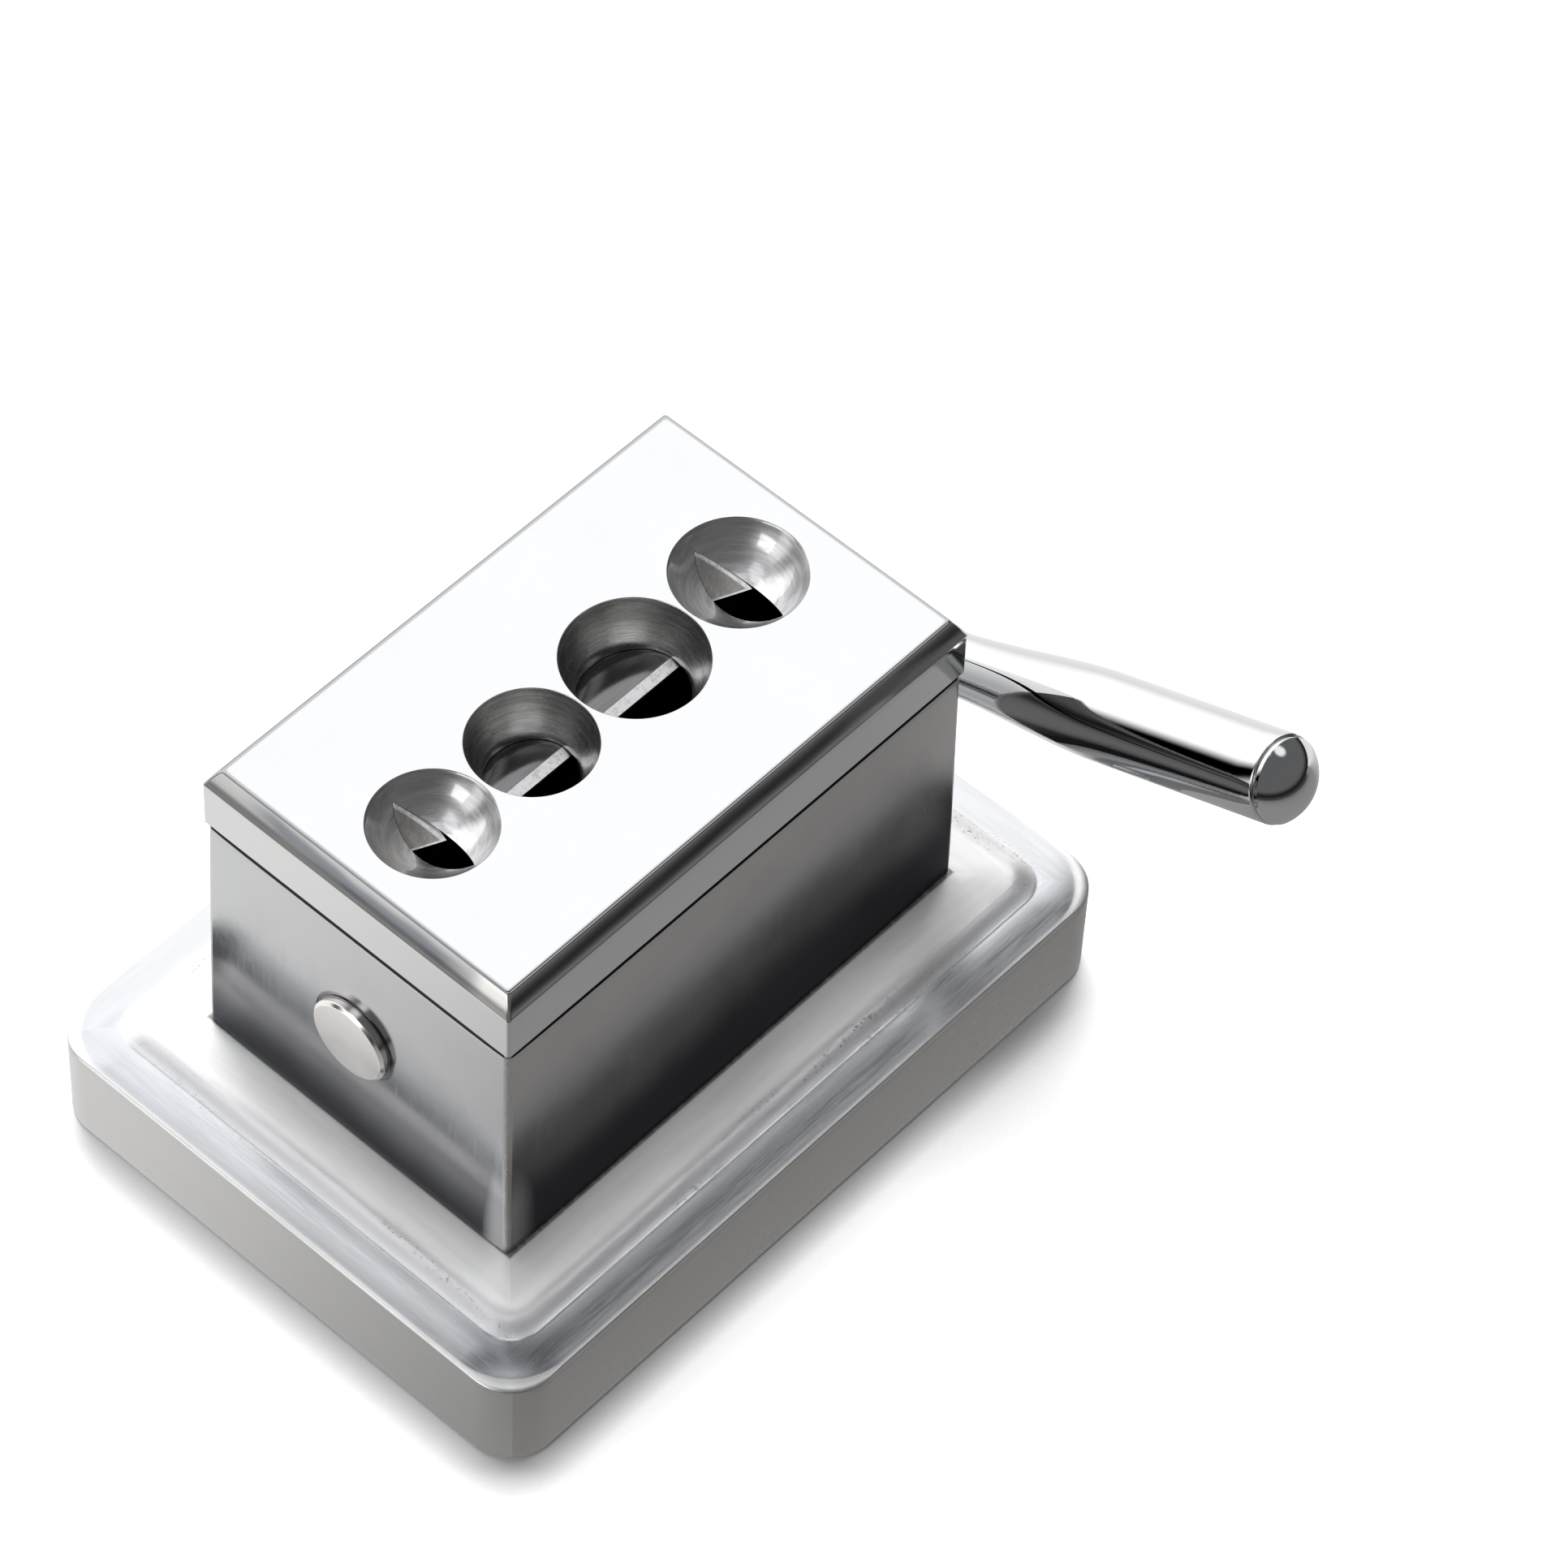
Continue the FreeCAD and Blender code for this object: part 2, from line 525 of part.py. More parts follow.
def make_bearings():
    bore = "shaft_radius + shaft_play"
    for label, sign in (("front_bush", -1), ("rear_bush", 1)):
        profile = [(f"{sign} * ({INNER} - flange_thickness)", bore),
                   (f"{sign} * ({FACE} - bush_recess)", bore),
                   (f"{sign} * ({FACE} - bush_recess)", "bush_radius"),
                   (f"{sign} * {INNER}", "bush_radius"),
                   (f"{sign} * {INNER}", "flange_radius"),
                   (f"{sign} * ({INNER} - flange_thickness)", "flange_radius")]
        node(about_shaft(turned_body(label.title().replace("_", ""), profile)), label)
    near = f"{INNER} - flange_thickness - washer_thickness"
    far = f"{INNER} - flange_thickness"
    node(ring_at("WaveWasher", "washer_radius", bore + " + 0.1", f"-({far})", f"-({near})"), "wave_washer")
    node(ring_at("ThrustWasher", "washer_radius", bore + " + 0.1", near, far), "thrust_washer")
    node(ring_at("HubWasher", "washer_radius", bore + " + 0.1", FACE, f"{FACE} + hub_washer_thickness"),
         "hub_washer")


def make_shaft():
    rear = f"{HUB_FACE} + lever_hub_length - 2"
    front = f"-({FACE} + end_play + cap_height - cap_floor)"
    node(along_y("Shaft", "shaft_radius", front, rear), "shaft")
    face = f"-({FACE} + end_play)"
    proud = f"-({FACE} + end_play + cap_height)"
    profile = [(face, "shaft_radius"), (front, "shaft_radius"), (front, "0"), (proud, "0"),
               (proud, "cap_radius - cap_bevel"), (f"{proud} + cap_bevel", "cap_radius"),
               (face, "cap_radius")]
    node(about_shaft(turned_body("PivotCap", profile)), "pivot_cap")


def make_stops():
    pins, sleeves = [], []
    for name, angle in (("open", "stop_open"), ("shut", "stop_shut")):
        x = f"stop_radius * sin({angle} * 1 deg)"
        z = f"shaft_height + stop_radius * cos({angle} * 1 deg)"
        pins.append(along_y(f"stop_pin_{name}", "stop_pin_radius", f"{INNER} - stop_reach",
                            f"{INNER} + stop_depth - 0.3", x, z))
        outer = along_y(f"bumper_outer_{name}", "bumper_radius", f"{INNER} - stop_reach + 0.4", INNER, x, z)
        inner = along_y(f"bumper_inner_{name}", "stop_pin_radius + thread_play", f"{INNER} - stop_reach - 1",
                        f"{INNER} + 1", x, z)
        sleeves.append(cut(f"bumper_{name}", outer, inner))
    node(group("StopPins", pins), "stop_pins")
    node(group("StopBumpers", sleeves), "stop_bumpers")


# Rocker and blades -----------------------------------------------------------------------------------------

BLADES = [("dish_a_y", "blade_half"), ("bore_a_y", "blade_half"), ("bore_b_y", "blade_half_b"),
          ("dish_b_y", "blade_half")]


def sector(name, low_y, high_y, inner, outer, start, end):
    """A piece of a ring round the shaft."""
    points = [(low_y, inner), (high_y, inner), (high_y, outer), (low_y, outer)]
    return about_shaft(turned_body(name, points, sweep=f"({end}) - ({start})"), start)


def screw_places():
    return [(f"{y} + {side} * blade_screw_offset", i * 2 + k)
            for i, (y, half) in enumerate(BLADES) for k, side in enumerate((-1, 1))]


def blade_screw(name, y, play="0"):
    head_depth = "blade_head_radius - blade_screw_radius"
    screw = countersunk(name, f"blade_screw_radius + {play}", f"blade_head_radius + {play}", head_depth,
                        "blade_outer - rim_inner - 0.2")
    radial(screw, "blade_outer - 0.15", "blade_screw_angle + 180", y)
    bind(screw, X="(blade_outer - 0.15) * sin(blade_screw_angle * 1 deg)",
         Z="shaft_height + (blade_outer - 0.15) * cos(blade_screw_angle * 1 deg)")
    return screw


def make_rocker():
    length = f"({INNER} - flange_thickness - washer_thickness - end_play)"
    hub = along_y("rocker_hub", "hub_radius", f"-{length}", length)
    rim = sector("rocker_rim", "rim_front", "rim_rear - 2.2", "rim_inner", "rim_outer", "rim_start",
                 "rim_end")
    webs = []
    for i, middle in enumerate(("rim_front + web_thickness", "(dish_a_y + bore_a_y) / 2",
                                "(bore_a_y + bore_b_y) / 2", "(bore_b_y + dish_b_y) / 2",
                                "rim_rear - web_thickness")):
        webs.append(sector(f"rocker_web_{i}", f"{middle} - web_thickness / 2",
                           f"{middle} + web_thickness / 2",
                           "hub_radius - 1", "rim_inner + 1", "rim_start", "rim_end"))
    tools = [along_y("rocker_bore", "shaft_radius", f"-{length} - 1", f"{length} + 1")]
    screws = []
    for i, y in enumerate(("(bore_a_y + dish_a_y) / 2", "(bore_b_y + dish_b_y) / 2")):
        hole = doc.addObject("Part::Cylinder", f"set_screw_hole_{i}")
        bind(hole, Radius="set_screw_radius + thread_play", Height="hub_radius")
        tools.append(radial(hole, "1", "180", y))
        screw = doc.addObject("Part::Cylinder", f"set_screw_{i}")
        bind(screw, Radius="set_screw_radius", Height="hub_radius - shaft_radius - 0.5")
        screws.append(radial(screw, "shaft_radius + 0.02", "180", y))
    for y, i in screw_places():
        hole = doc.addObject("Part::Cylinder", f"rim_screw_hole_{i}")
        bind(hole, Radius="blade_screw_radius + thread_play", Height="8")
        tools.append(radial(hole, "rim_inner - 2", "blade_screw_angle", y))
    node(cut("Rocker", fuse("rocker_solid", hub, rim, *webs), *tools), "rocker")
    node(group("RockerSetScrews", screws), "rocker_set_screws")
    blade_screws = [blade_screw(f"blade_screw_{i}", y) for y, i in screw_places()]
    node(group("BladeScrews", blade_screws), "blade_screws")


def screw_tools(label, y):
    return [blade_screw(f"{label}_hole_{k}", f"{y} + {side} * blade_screw_offset", "0.05")
            for k, side in enumerate((-1, 1))]


def make_straight_blade(label, y, half):
    shell = sector(label + "_shell", f"{y} - {half}", f"{y} + {half}", "rim_outer", "blade_outer",
                   "blade_start", "edge_angle")
    bevel = doc.addObject("Part::Wedge", label + "_bevel")
    bind(bevel, Xmin="0", Xmax="bevel_length + 1", Ymin="0", Ymax=f"2 * {half} + 2", Zmin="0", Zmax="2",
         X2min="0", X2max="bevel_length + 1", Z2min="0", Z2max="2")
    turned(bevel, Vector(0, 1, 0), 1.0)
    tilt = "edge_angle + atan(bevel_drop / bevel_length) / 1 deg"
    reach = "(blade_outer - bevel_drop)"
    bind(bevel, Turn=tilt, Y=f"{y} - {half} - 1",
         X=f"{reach} * sin(edge_angle * 1 deg) - bevel_length * cos(({tilt}) * 1 deg)",
         Z=f"shaft_height + {reach} * cos(edge_angle * 1 deg) + bevel_length * sin(({tilt}) * 1 deg)")
    node(cut(label.title().replace("_", ""), shell, bevel, *screw_tools(label, y)), label)


def make_v_blade(label, y, half):
    """A roof-shaped blade with two flat wings, raked so that its ridge leads."""
    slope = "tan(ridge_half_angle * 1 deg)"
    foot = f"(ridge_radius - blade_outer) * {slope}"
    inside = "(ridge_radius - ridge_wall / sin(ridge_half_angle * 1 deg))"
    inner_foot = f"({inside} - rim_outer) * {slope}"
    points = [(f"{y} - {half}", "rim_outer"), (f"{y} - {inner_foot}", "rim_outer"), (y, inside),
              (f"{y} + {inner_foot}", "rim_outer"), (f"{y} + {half}", "rim_outer"),
              (f"{y} + {half}", "blade_outer"), (f"{y} + {foot}", "blade_outer"), (y, "ridge_radius"),
              (f"{y} - {foot}", "blade_outer"), (f"{y} - {half}", "blade_outer")]
    roof = about_shaft(turned_body(label + "_roof", points, sweep="ridge_end - blade_start"), "blade_start")
    rake = doc.addObject("Part::Box", label + "_rake")
    bind(rake, Length="30", Width=f"2 * {half} + 2", Height="50")
    turned(rake, Vector(0, 1, 0), 1.0)
    bind(rake, Turn="rake_angle", X="rake_x - 15 * sin(rake_angle * 1 deg)", Y=f"{y} - {half} - 1",
         Z="shaft_height + trough_radius - 15 * cos(rake_angle * 1 deg)")
    node(cut(label.title().replace("_", ""), roof, rake, *screw_tools(label, y)), label)


# Lever -----------------------------------------------------------------------------------------------------

HUB_FACE = f"{FACE} + hub_washer_thickness + end_play"
LEVER_Y = f"({HUB_FACE} + lever_offset)"


def point_lever(obj):
    """Turns an object made along +X, from the shaft outwards, to the lever's own angle."""
    turned(obj, Vector(0, 1, 0), 1.0)
    return bind(obj, Turn="-lever_angle", Y=LEVER_Y, Z="shaft_height")


def make_lever():
    low, high = HUB_FACE, f"{HUB_FACE} + lever_hub_length"
    profile = [(low, "0"), (low, "lever_hub_radius - lever_hub_bevel"),
               (f"{low} + lever_hub_bevel", "lever_hub_radius"),
               (f"{high} - lever_hub_bevel", "lever_hub_radius"),
               (high, "lever_hub_radius - lever_hub_bevel"), (high, "0")]
    solid = about_shaft(turned_body("lever_hub_solid", profile))
    bore = along_y("lever_hub_bore", "shaft_radius", f"{low} - 1", f"{high} - 2")
    stud_hole = [("0", "0"), ("0", "lever_stud_radius + thread_play"),
                 ("lever_seat", "lever_stud_radius + thread_play"), ("lever_seat", "lever_neck_radius + 0.1"),
                 ("lever_hub_radius + 2", "lever_neck_radius + 0.1"), ("lever_hub_radius + 2", "0")]
    socket = point_lever(turned_body("lever_hub_socket", stud_hole, plane="XZ_Plane"))
    screw_hole = doc.addObject("Part::Cylinder", "hub_screw_hole")
    bind(screw_hole, Radius="set_screw_radius + thread_play", Height="lever_hub_radius")
    radial(screw_hole, "1", "270 - lever_angle", LEVER_Y)
    node(cut("LeverHub", solid, bore, socket, screw_hole), "lever_hub")

    screw = doc.addObject("Part::Cylinder", "HubSetScrew")
    bind(screw, Radius="set_screw_radius", Height="lever_hub_radius - shaft_radius - 1")
    node(radial(screw, "shaft_radius + 0.02", "270 - lever_angle", LEVER_Y), "hub_set_screw")

    outline = [("lever_stud_end", "0"), ("lever_stud_end", "lever_stud_radius"),
               ("lever_seat", "lever_stud_radius"), ("lever_seat", "lever_neck_radius"),
               ("lever_swell_start", "lever_swell_radius"), ("lever_swell_end", "grip_radius"),
               ("grip_end - 0.6", "grip_radius"), ("grip_end", "grip_radius - 0.6"),
               ("grip_end", "end_cap_stud + thread_play"),
               ("grip_end - end_cap_stud_length - 0.5", "end_cap_stud + thread_play"),
               ("grip_end - end_cap_stud_length - 0.5", "0")]
    node(point_lever(turned_body("LeverArm", outline, plane="XZ_Plane")), "lever_arm")

    ball_radius = "(end_cap_radius ^ 2 + end_cap_dome ^ 2) / (2 * end_cap_dome)"
    ball = doc.addObject("Part::Sphere", "end_cap_ball")
    bind(ball, Radius=ball_radius, X=f"grip_end + end_cap_collar + end_cap_dome - {ball_radius}")
    collar_outline = [("grip_end - end_cap_stud_length", "0"),
                      ("grip_end - end_cap_stud_length", "end_cap_stud"),
                      ("grip_end", "end_cap_stud"), ("grip_end", "end_cap_radius - 0.6"),
                      ("grip_end + 0.6", "end_cap_radius"), ("grip_end + end_cap_collar", "end_cap_radius"),
                      ("grip_end + end_cap_collar", "0")]
    collar = turned_body("end_cap_collar_solid", collar_outline, plane="XZ_Plane")
    trim = doc.addObject("Part::Box", "end_cap_trim")
    bind(trim, Length=f"2 * {ball_radius}", Width=f"2 * {ball_radius} + 2",
         Height=f"2 * {ball_radius} + 2",
         X=f"grip_end + end_cap_collar - 2 * {ball_radius}", Y=f"-{ball_radius} - 1", Z=f"-{ball_radius} - 1")
    node(point_lever(fuse("LeverEndCap", cut("end_cap_dome_solid", ball, trim), collar)), "lever_end_cap")


make_base()
make_pad()
make_cover()
make_housing()
make_lid()
make_fasteners()
make_bearings()
make_shaft()
make_stops()
make_rocker()
make_v_blade("v_blade_small", *BLADES[0])
make_straight_blade("straight_blade_small", *BLADES[1])
make_straight_blade("straight_blade_large", *BLADES[2])
make_v_blade("v_blade_large", *BLADES[3])
make_lever()

# Checks and export -----------------------------------------------------------------------------------------

doc.recompute()
for obj in doc.Objects:
    if "Invalid" in obj.State or "Error" in obj.State:
        raise RuntimeError(f"{obj.Label} did not recompute: {obj.State}")
os.makedirs("parts", exist_ok=True)
for obj in NODES:
    if obj.Shape.isNull() or not obj.Shape.isValid():
        raise RuntimeError(f"{obj.Label} has no valid shape")
    obj.Shape.exportStep(f"parts/{obj.Label}.step")
    print(obj.Label, len(obj.Shape.Solids), round(obj.Shape.Volume, 1), obj.Shape.BoundBox)
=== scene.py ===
import json
import math

import bmesh
import bpy
from mathutils import Matrix, Vector


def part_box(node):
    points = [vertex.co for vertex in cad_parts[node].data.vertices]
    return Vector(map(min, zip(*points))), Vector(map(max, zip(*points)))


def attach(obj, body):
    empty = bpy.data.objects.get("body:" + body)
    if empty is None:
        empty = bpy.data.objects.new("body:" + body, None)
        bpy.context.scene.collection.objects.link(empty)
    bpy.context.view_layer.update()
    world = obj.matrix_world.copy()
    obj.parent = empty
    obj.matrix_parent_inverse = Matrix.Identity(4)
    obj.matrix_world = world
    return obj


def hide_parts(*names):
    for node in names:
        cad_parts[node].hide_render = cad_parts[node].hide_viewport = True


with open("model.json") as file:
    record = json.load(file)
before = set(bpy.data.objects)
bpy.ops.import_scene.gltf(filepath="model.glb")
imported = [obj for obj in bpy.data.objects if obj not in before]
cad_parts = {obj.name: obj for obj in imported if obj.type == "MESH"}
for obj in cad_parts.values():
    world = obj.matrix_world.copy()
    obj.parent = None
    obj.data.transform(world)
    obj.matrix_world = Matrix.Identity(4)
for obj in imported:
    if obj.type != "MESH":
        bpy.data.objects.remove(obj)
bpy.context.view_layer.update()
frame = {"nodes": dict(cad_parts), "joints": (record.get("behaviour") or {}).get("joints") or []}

# A desk-top cigar cutter in polished aluminium: a stepped base, a box housing, a chamfered lid with two V
# dishes and two straight holes, and a chromed lever on the far end. Metres, in the frame of the CAD parts:
# Z up from the table, Y along the row of holes towards the lever's end, X to the side the lever points to.

MM = 0.001
HINGE = Vector(frame["joints"][0]["pos_m"])
SHAFT_Z = HINGE.z
LEVER_ANGLE = math.radians(23.1)
ALONG_Y = Matrix.Translation((0, 0, SHAFT_Z)) @ Matrix.Rotation(math.radians(-90), 4, "X")


def node_box(node):
    low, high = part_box(node)
    return Vector(low), Vector(high)


BASE_LOW, BASE_HIGH = node_box("base")
HOUSING_LOW, HOUSING_HIGH = node_box("housing")
LID_HIGH = node_box("lid")[1]
LID_BOTTOM = HOUSING_HIGH.z
LID_TOP = LID_BOTTOM + 17.5 * MM

# Inset of each line of the base from its outer edge, and its height
RIM_ROUND = 0.9 * MM
LEDGE_INSET = 9.7 * MM
STEP_INSET = 13.75 * MM
FOOT_INSET = 25.4 * MM
RIM_Z = 27.0 * MM
LEDGE_Z = 28.1 * MM
STEP_Z = 29.9 * MM

# Holes of the lid: Y of the middle, radius at the rim, radius of the ball or of the throat
DISHES = ((-46.8 * MM, 14.1 * MM, 16.0 * MM), (46.0 * MM, 15.2 * MM, 17.0 * MM))
BORES = ((-17.4 * MM, 14.35 * MM, 10.25 * MM), (13.8 * MM, 16.3 * MM, 12.3 * MM))
TROUGH_RADIUS = 39.5 * MM
GROOVE_RADIUS = 49.1 * MM
GROOVE_SLOPE = math.tan(math.radians(34))
BLADE_RADIUS = 39.35 * MM
RAKE = math.radians(47.9)
RAKE_X = -6.4 * MM


# Mesh helpers -------------------------------------------------------------------------------------

def mesh_object(name, bm):
    bmesh.ops.recalc_face_normals(bm, faces=bm.faces)
    mesh = bpy.data.meshes.new(name)
    bm.to_mesh(mesh)
    bm.free()
    obj = bpy.data.objects.new(name, mesh)
    bpy.context.scene.collection.objects.link(obj)
    return obj


def smooth(obj, sharp_degrees=32):
    for polygon in obj.data.polygons:
        polygon.use_smooth = True
    obj.data.set_sharp_from_angle(angle=math.radians(sharp_degrees))
    return obj


def skin(name, rings, matrix=None):
    """A closed skin over rings of points. A ring of one point closes its end to a tip."""
    bm = bmesh.new()
    rows = [[bm.verts.new(matrix @ Vector(p) if matrix else p) for p in ring] for ring in rings]
    for low, high in zip(rows, rows[1:]):
        count = max(len(low), len(high))
        for i in range(count):
            k = (i + 1) % count
            if len(low) == 1:
                bm.faces.new((low[0], high[k], high[i]))
            elif len(high) == 1:
                bm.faces.new((low[i], low[k], high[0]))
            else:
                bm.faces.new((low[i], low[k], high[k], high[i]))
    for end in (rows[0], rows[-1]):
        if len(end) > 2:
            bm.faces.new(end)
    return mesh_object(name, bm)


def rounded_outline(half_x, half_y, radius, height, crown=0.0, corner_steps=12, side_steps=24):
    """Points round a rectangle with rounded corners. crown is how far each side bulges in the middle."""
    points = []
    quarters = ((1, 1, 0), (-1, 1, 90), (-1, -1, 180), (1, -1, 270))
    for index, (sx, sy, start) in enumerate(quarters):
        centre = Vector((sx * (half_x - radius), sy * (half_y - radius), height))
        for step in range(corner_steps + 1):
            angle = math.radians(start + 90 * step / corner_steps)
            points.append(centre + Vector((math.cos(angle), math.sin(angle), 0)) * radius)
        nx, ny, follow = quarters[(index + 1) % 4]
        angle = math.radians(follow)
        outward = Vector((math.cos(angle), math.sin(angle), 0))
        end = points[-1]
        other = Vector((nx * (half_x - radius), ny * (half_y - radius), height)) + outward * radius
        for step in range(1, side_steps):
            share = 0.5 - 0.5 * math.cos(math.pi * step / side_steps)
            swell = crown * (1 - (2 * share - 1) ** 8)
            points.append(end.lerp(other, share) + outward * swell)
    return points


def lathe(name, profile, segments=96, matrix=None):
    """A body of revolution about local Z. profile is (radius, height) pairs."""
    rings = []
    for radius, height in profile:
        count = segments if radius > 1e-7 else 1
        turns = [2 * math.pi * i / segments for i in range(count)]
        rings.append([(radius * math.cos(turn), radius * math.sin(turn), height) for turn in turns])
    return skin(name, rings, matrix)


def arc(centre_r, centre_z, radius, start, end, steps=8):
    """(radius, height) points on an arc, from start to end degrees."""
    turns = [math.radians(start + (end - start) * i / steps) for i in range(steps + 1)]
    return [(centre_r + radius * math.cos(turn), centre_z + radius * math.sin(turn)) for turn in turns]


def block(name, low, high):
    """A closed box, used only as a cutter."""
    bm = bmesh.new()
    bmesh.ops.create_cube(bm, size=1.0)
    low, high = Vector(low), Vector(high)
    for vert in bm.verts:
        vert.co = Vector([low[i] + (vert.co[i] + 0.5) * (high[i] - low[i]) for i in range(3)])
    return mesh_object(name, bm)


def sweep_about_shaft(name, section, start, end, steps):
    """Sweeps a section of (y, radius) points round the shaft, in degrees from straight up."""
    rings = []
    for i in range(steps + 1):
        angle = math.radians(start + (end - start) * i / steps)
        rings.append([(r * math.sin(angle), y, SHAFT_Z + r * math.cos(angle)) for y, r in section])
    return skin(name, rings)


def carve(obj, cutters):
    """Cuts each cutter out of obj and leaves plain mesh data."""
    for cutter in cutters:
        modifier = obj.modifiers.new("carve", "BOOLEAN")
        modifier.operation = "DIFFERENCE"
        modifier.solver = "EXACT"
        modifier.object = cutter
    bpy.context.view_layer.update()
    carved = bpy.data.meshes.new_from_object(obj.evaluated_get(bpy.context.evaluated_depsgraph_get()))
    obj.modifiers.clear()
    old, obj.data = obj.data, carved
    bpy.data.meshes.remove(old)
    for cutter in cutters:
        bpy.data.objects.remove(cutter)
    return obj


def settle(obj, body, materials, *nodes):
    """Gives a finished piece its materials and its body, and hides the CAD nodes it stands for."""
    obj.data.materials.clear()
    for material in materials:
        obj.data.materials.append(material)
    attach(obj, body)
    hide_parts(*nodes)
    return obj


# Material helpers ---------------------------------------------------------------------------------

class Nodes:
    """A short way to write a metal's node tree."""

    def __init__(self, name):
        self.material = bpy.data.materials.new(name)
        self.material.use_nodes = True
        self.tree = self.material.node_tree
        self.tree.nodes.clear()
        output = self.add("OutputMaterial")
        self.shader = self.add("BsdfPrincipled")
        self.tree.links.new(self.shader.outputs[0], output.inputs[0])
        self.place = self.add("TexCoord").outputs["Object"]
        axes = self.add("SeparateXYZ")
        self.tree.links.new(self.place, axes.inputs[0])
        self.x, self.y, self.z = axes.outputs

    def add(self, kind):
        return self.tree.nodes.new("ShaderNode" + kind)

    def feed(self, socket, value):
        if isinstance(value, bpy.types.NodeSocket):
            self.tree.links.new(value, socket)
        elif not hasattr(socket.default_value, "__len__"):
            socket.default_value = value
        else:
            size = len(socket.default_value)
            values = list(value) if hasattr(value, "__len__") else [value] * 3
            socket.default_value = values + [1.0] * (size - len(values))

    def finish(self, **inputs):
        for name, value in inputs.items():
            self.feed(self.shader.inputs[name.replace("_", " ")], value)
        return self.material

    def math(self, operation, first, second=0.0):
        node = self.add("Math")
        node.operation = operation
        self.feed(node.inputs[0], first)
        self.feed(node.inputs[1], second)
        return node.outputs[0]

    def vector(self, x, y, z):
        node = self.add("CombineXYZ")
        for socket, value in zip(node.inputs, (x, y, z)):
            self.feed(socket, value)
        return node.outputs[0]

    def scaled(self, x, y, z):
        """The object's coordinates, stretched along each axis whose factor is small."""
        node = self.add("Mapping")
        node.inputs["Scale"].default_value = (x, y, z)
        self.tree.links.new(self.place, node.inputs["Vector"])
        return node.outputs[0]

    def noise(self, scale, detail=4.0, rough=0.55, vector=None):
        node = self.add("TexNoise")
        self.tree.links.new(vector or self.place, node.inputs["Vector"])
        for name, value in (("Scale", scale), ("Detail", detail), ("Roughness", rough)):
            node.inputs[name].default_value = value
        return node.outputs["Fac"]

    def remap(self, value, low, high, to_low=0.0, to_high=1.0):
        node = self.add("MapRange")
        node.interpolation_type = "SMOOTHSTEP"
        for socket, number in zip(node.inputs[:5], (value, low, high, to_low, to_high)):
            self.feed(socket, number)
        return node.outputs[0]

    def times(self, first, second):
        return self.math("MULTIPLY", first, second)

    def length(self, first, second):
        """The hypotenuse over two distances."""
        return self.math("SQRT", self.math("ADD", self.times(first, first), self.times(second, second)))

    def window(self, value, low, high, soft):
        """1 between low and high, 0 outside, with soft edges."""
        rise = self.remap(value, low - soft, low + soft)
        fall = self.remap(value, high - soft, high + soft, 1.0, 0.0)
        return self.times(rise, fall)

    def mix(self, share, first, second):
        node = self.add("Mix")
        node.data_type = "RGBA"
        for index, value in ((0, share), (6, first), (7, second)):
            self.feed(node.inputs[index], value)
        return node.outputs[2]

    def between(self, share, first, second):
        """Plain numbers: first where share is 0, second where it is 1."""
        node = self.add("MapRange")
        for socket, number in zip(node.inputs[:5], (share, 0.0, 1.0, first, second)):
            self.feed(socket, number)
        return node.outputs[0]

    def bump(self, height, distance, normal=None):
        node = self.add("Bump")
        node.inputs["Strength"].default_value = 1.0
        node.inputs["Distance"].default_value = distance
        self.feed(node.inputs["Height"], height)
        if normal:
            self.tree.links.new(normal, node.inputs["Normal"])
        return node.outputs[0]


def shade(colour, factor):
    return [channel * factor for channel in colour]


def hand_polished(name, colour, rough, haze, wave, grain):
    """Metal off a buffing wheel: faint waves, hazy patches and hairlines that run along one axis."""
    n = Nodes(name)
    patches = n.noise(55.0, 4.0, 0.6)
    hairs = n.noise(1400.0, 3.0, 0.6, n.scaled(*grain))
    tint = n.mix(n.remap(patches, 0.3, 0.7), shade(colour, 0.94), colour)
    roughness = n.math("ADD", n.remap(patches, 0.3, 0.75, rough * 0.75, rough + haze),
                       n.remap(hairs, 0.5, 0.8, 0.0, haze))
    normal = n.bump(n.noise(30.0, 2.0, 0.4), wave * MM)
    normal = n.bump(hairs, 0.0015 * MM, normal)
    return n.finish(Base_Color=tint, Metallic=1.0, Roughness=roughness, Normal=normal)


def turned(name, colour, rough, middle, marks, polish, rim_shade):
    """Metal off a lathe or a cutter: fine rings round a hole at Y = middle, and painted shade darkening the
    rim towards -X.
    """
    n = Nodes(name)
    off = n.math("SUBTRACT", n.y, middle)
    radius = n.length(n.x, off)
    turn = n.math("ARCTAN2", off, n.x)
    ring = n.vector(radius, n.z, n.times(turn, 0.0012))
    fine = n.noise(2600.0, 4.0, 0.7, ring)
    broad = n.noise(900.0, 4.0, 0.7, ring)
    soil = n.noise(60.0, 3.0, 0.5)
    tint = n.mix(n.remap(broad, 0.35, 0.65), shade(colour, 0.8), shade(colour, 1.2))
    tint = n.mix(n.remap(soil, 0.45, 0.75, 0.0, 0.18), tint, shade(colour, 0.6))
    # painted shade: the upper rim of the hole darkens towards -X, as strong as rim_shade
    rim = n.times(n.remap(n.z, LID_TOP - 10 * MM, LID_TOP - 1 * MM, 0.0, rim_shade),
                  n.remap(n.x, -8 * MM, 6 * MM, 1.0, 0.0))
    tint = n.mix(rim, tint, shade(colour, 0.4))
    roughness = n.math("ADD", n.remap(fine, 0.3, 0.75, rough * 0.8, rough * 1.25),
                       n.remap(soil, 0.4, 0.8, 0.0, 0.04))
    normal = n.bump(fine, marks * MM)
    normal = n.bump(broad, marks * 2 * MM, normal)
    return n.finish(Base_Color=tint, Metallic=1.0, Roughness=roughness, Normal=normal, Coat_Weight=polish,
                    Coat_Roughness=0.05, Coat_IOR=2.2)


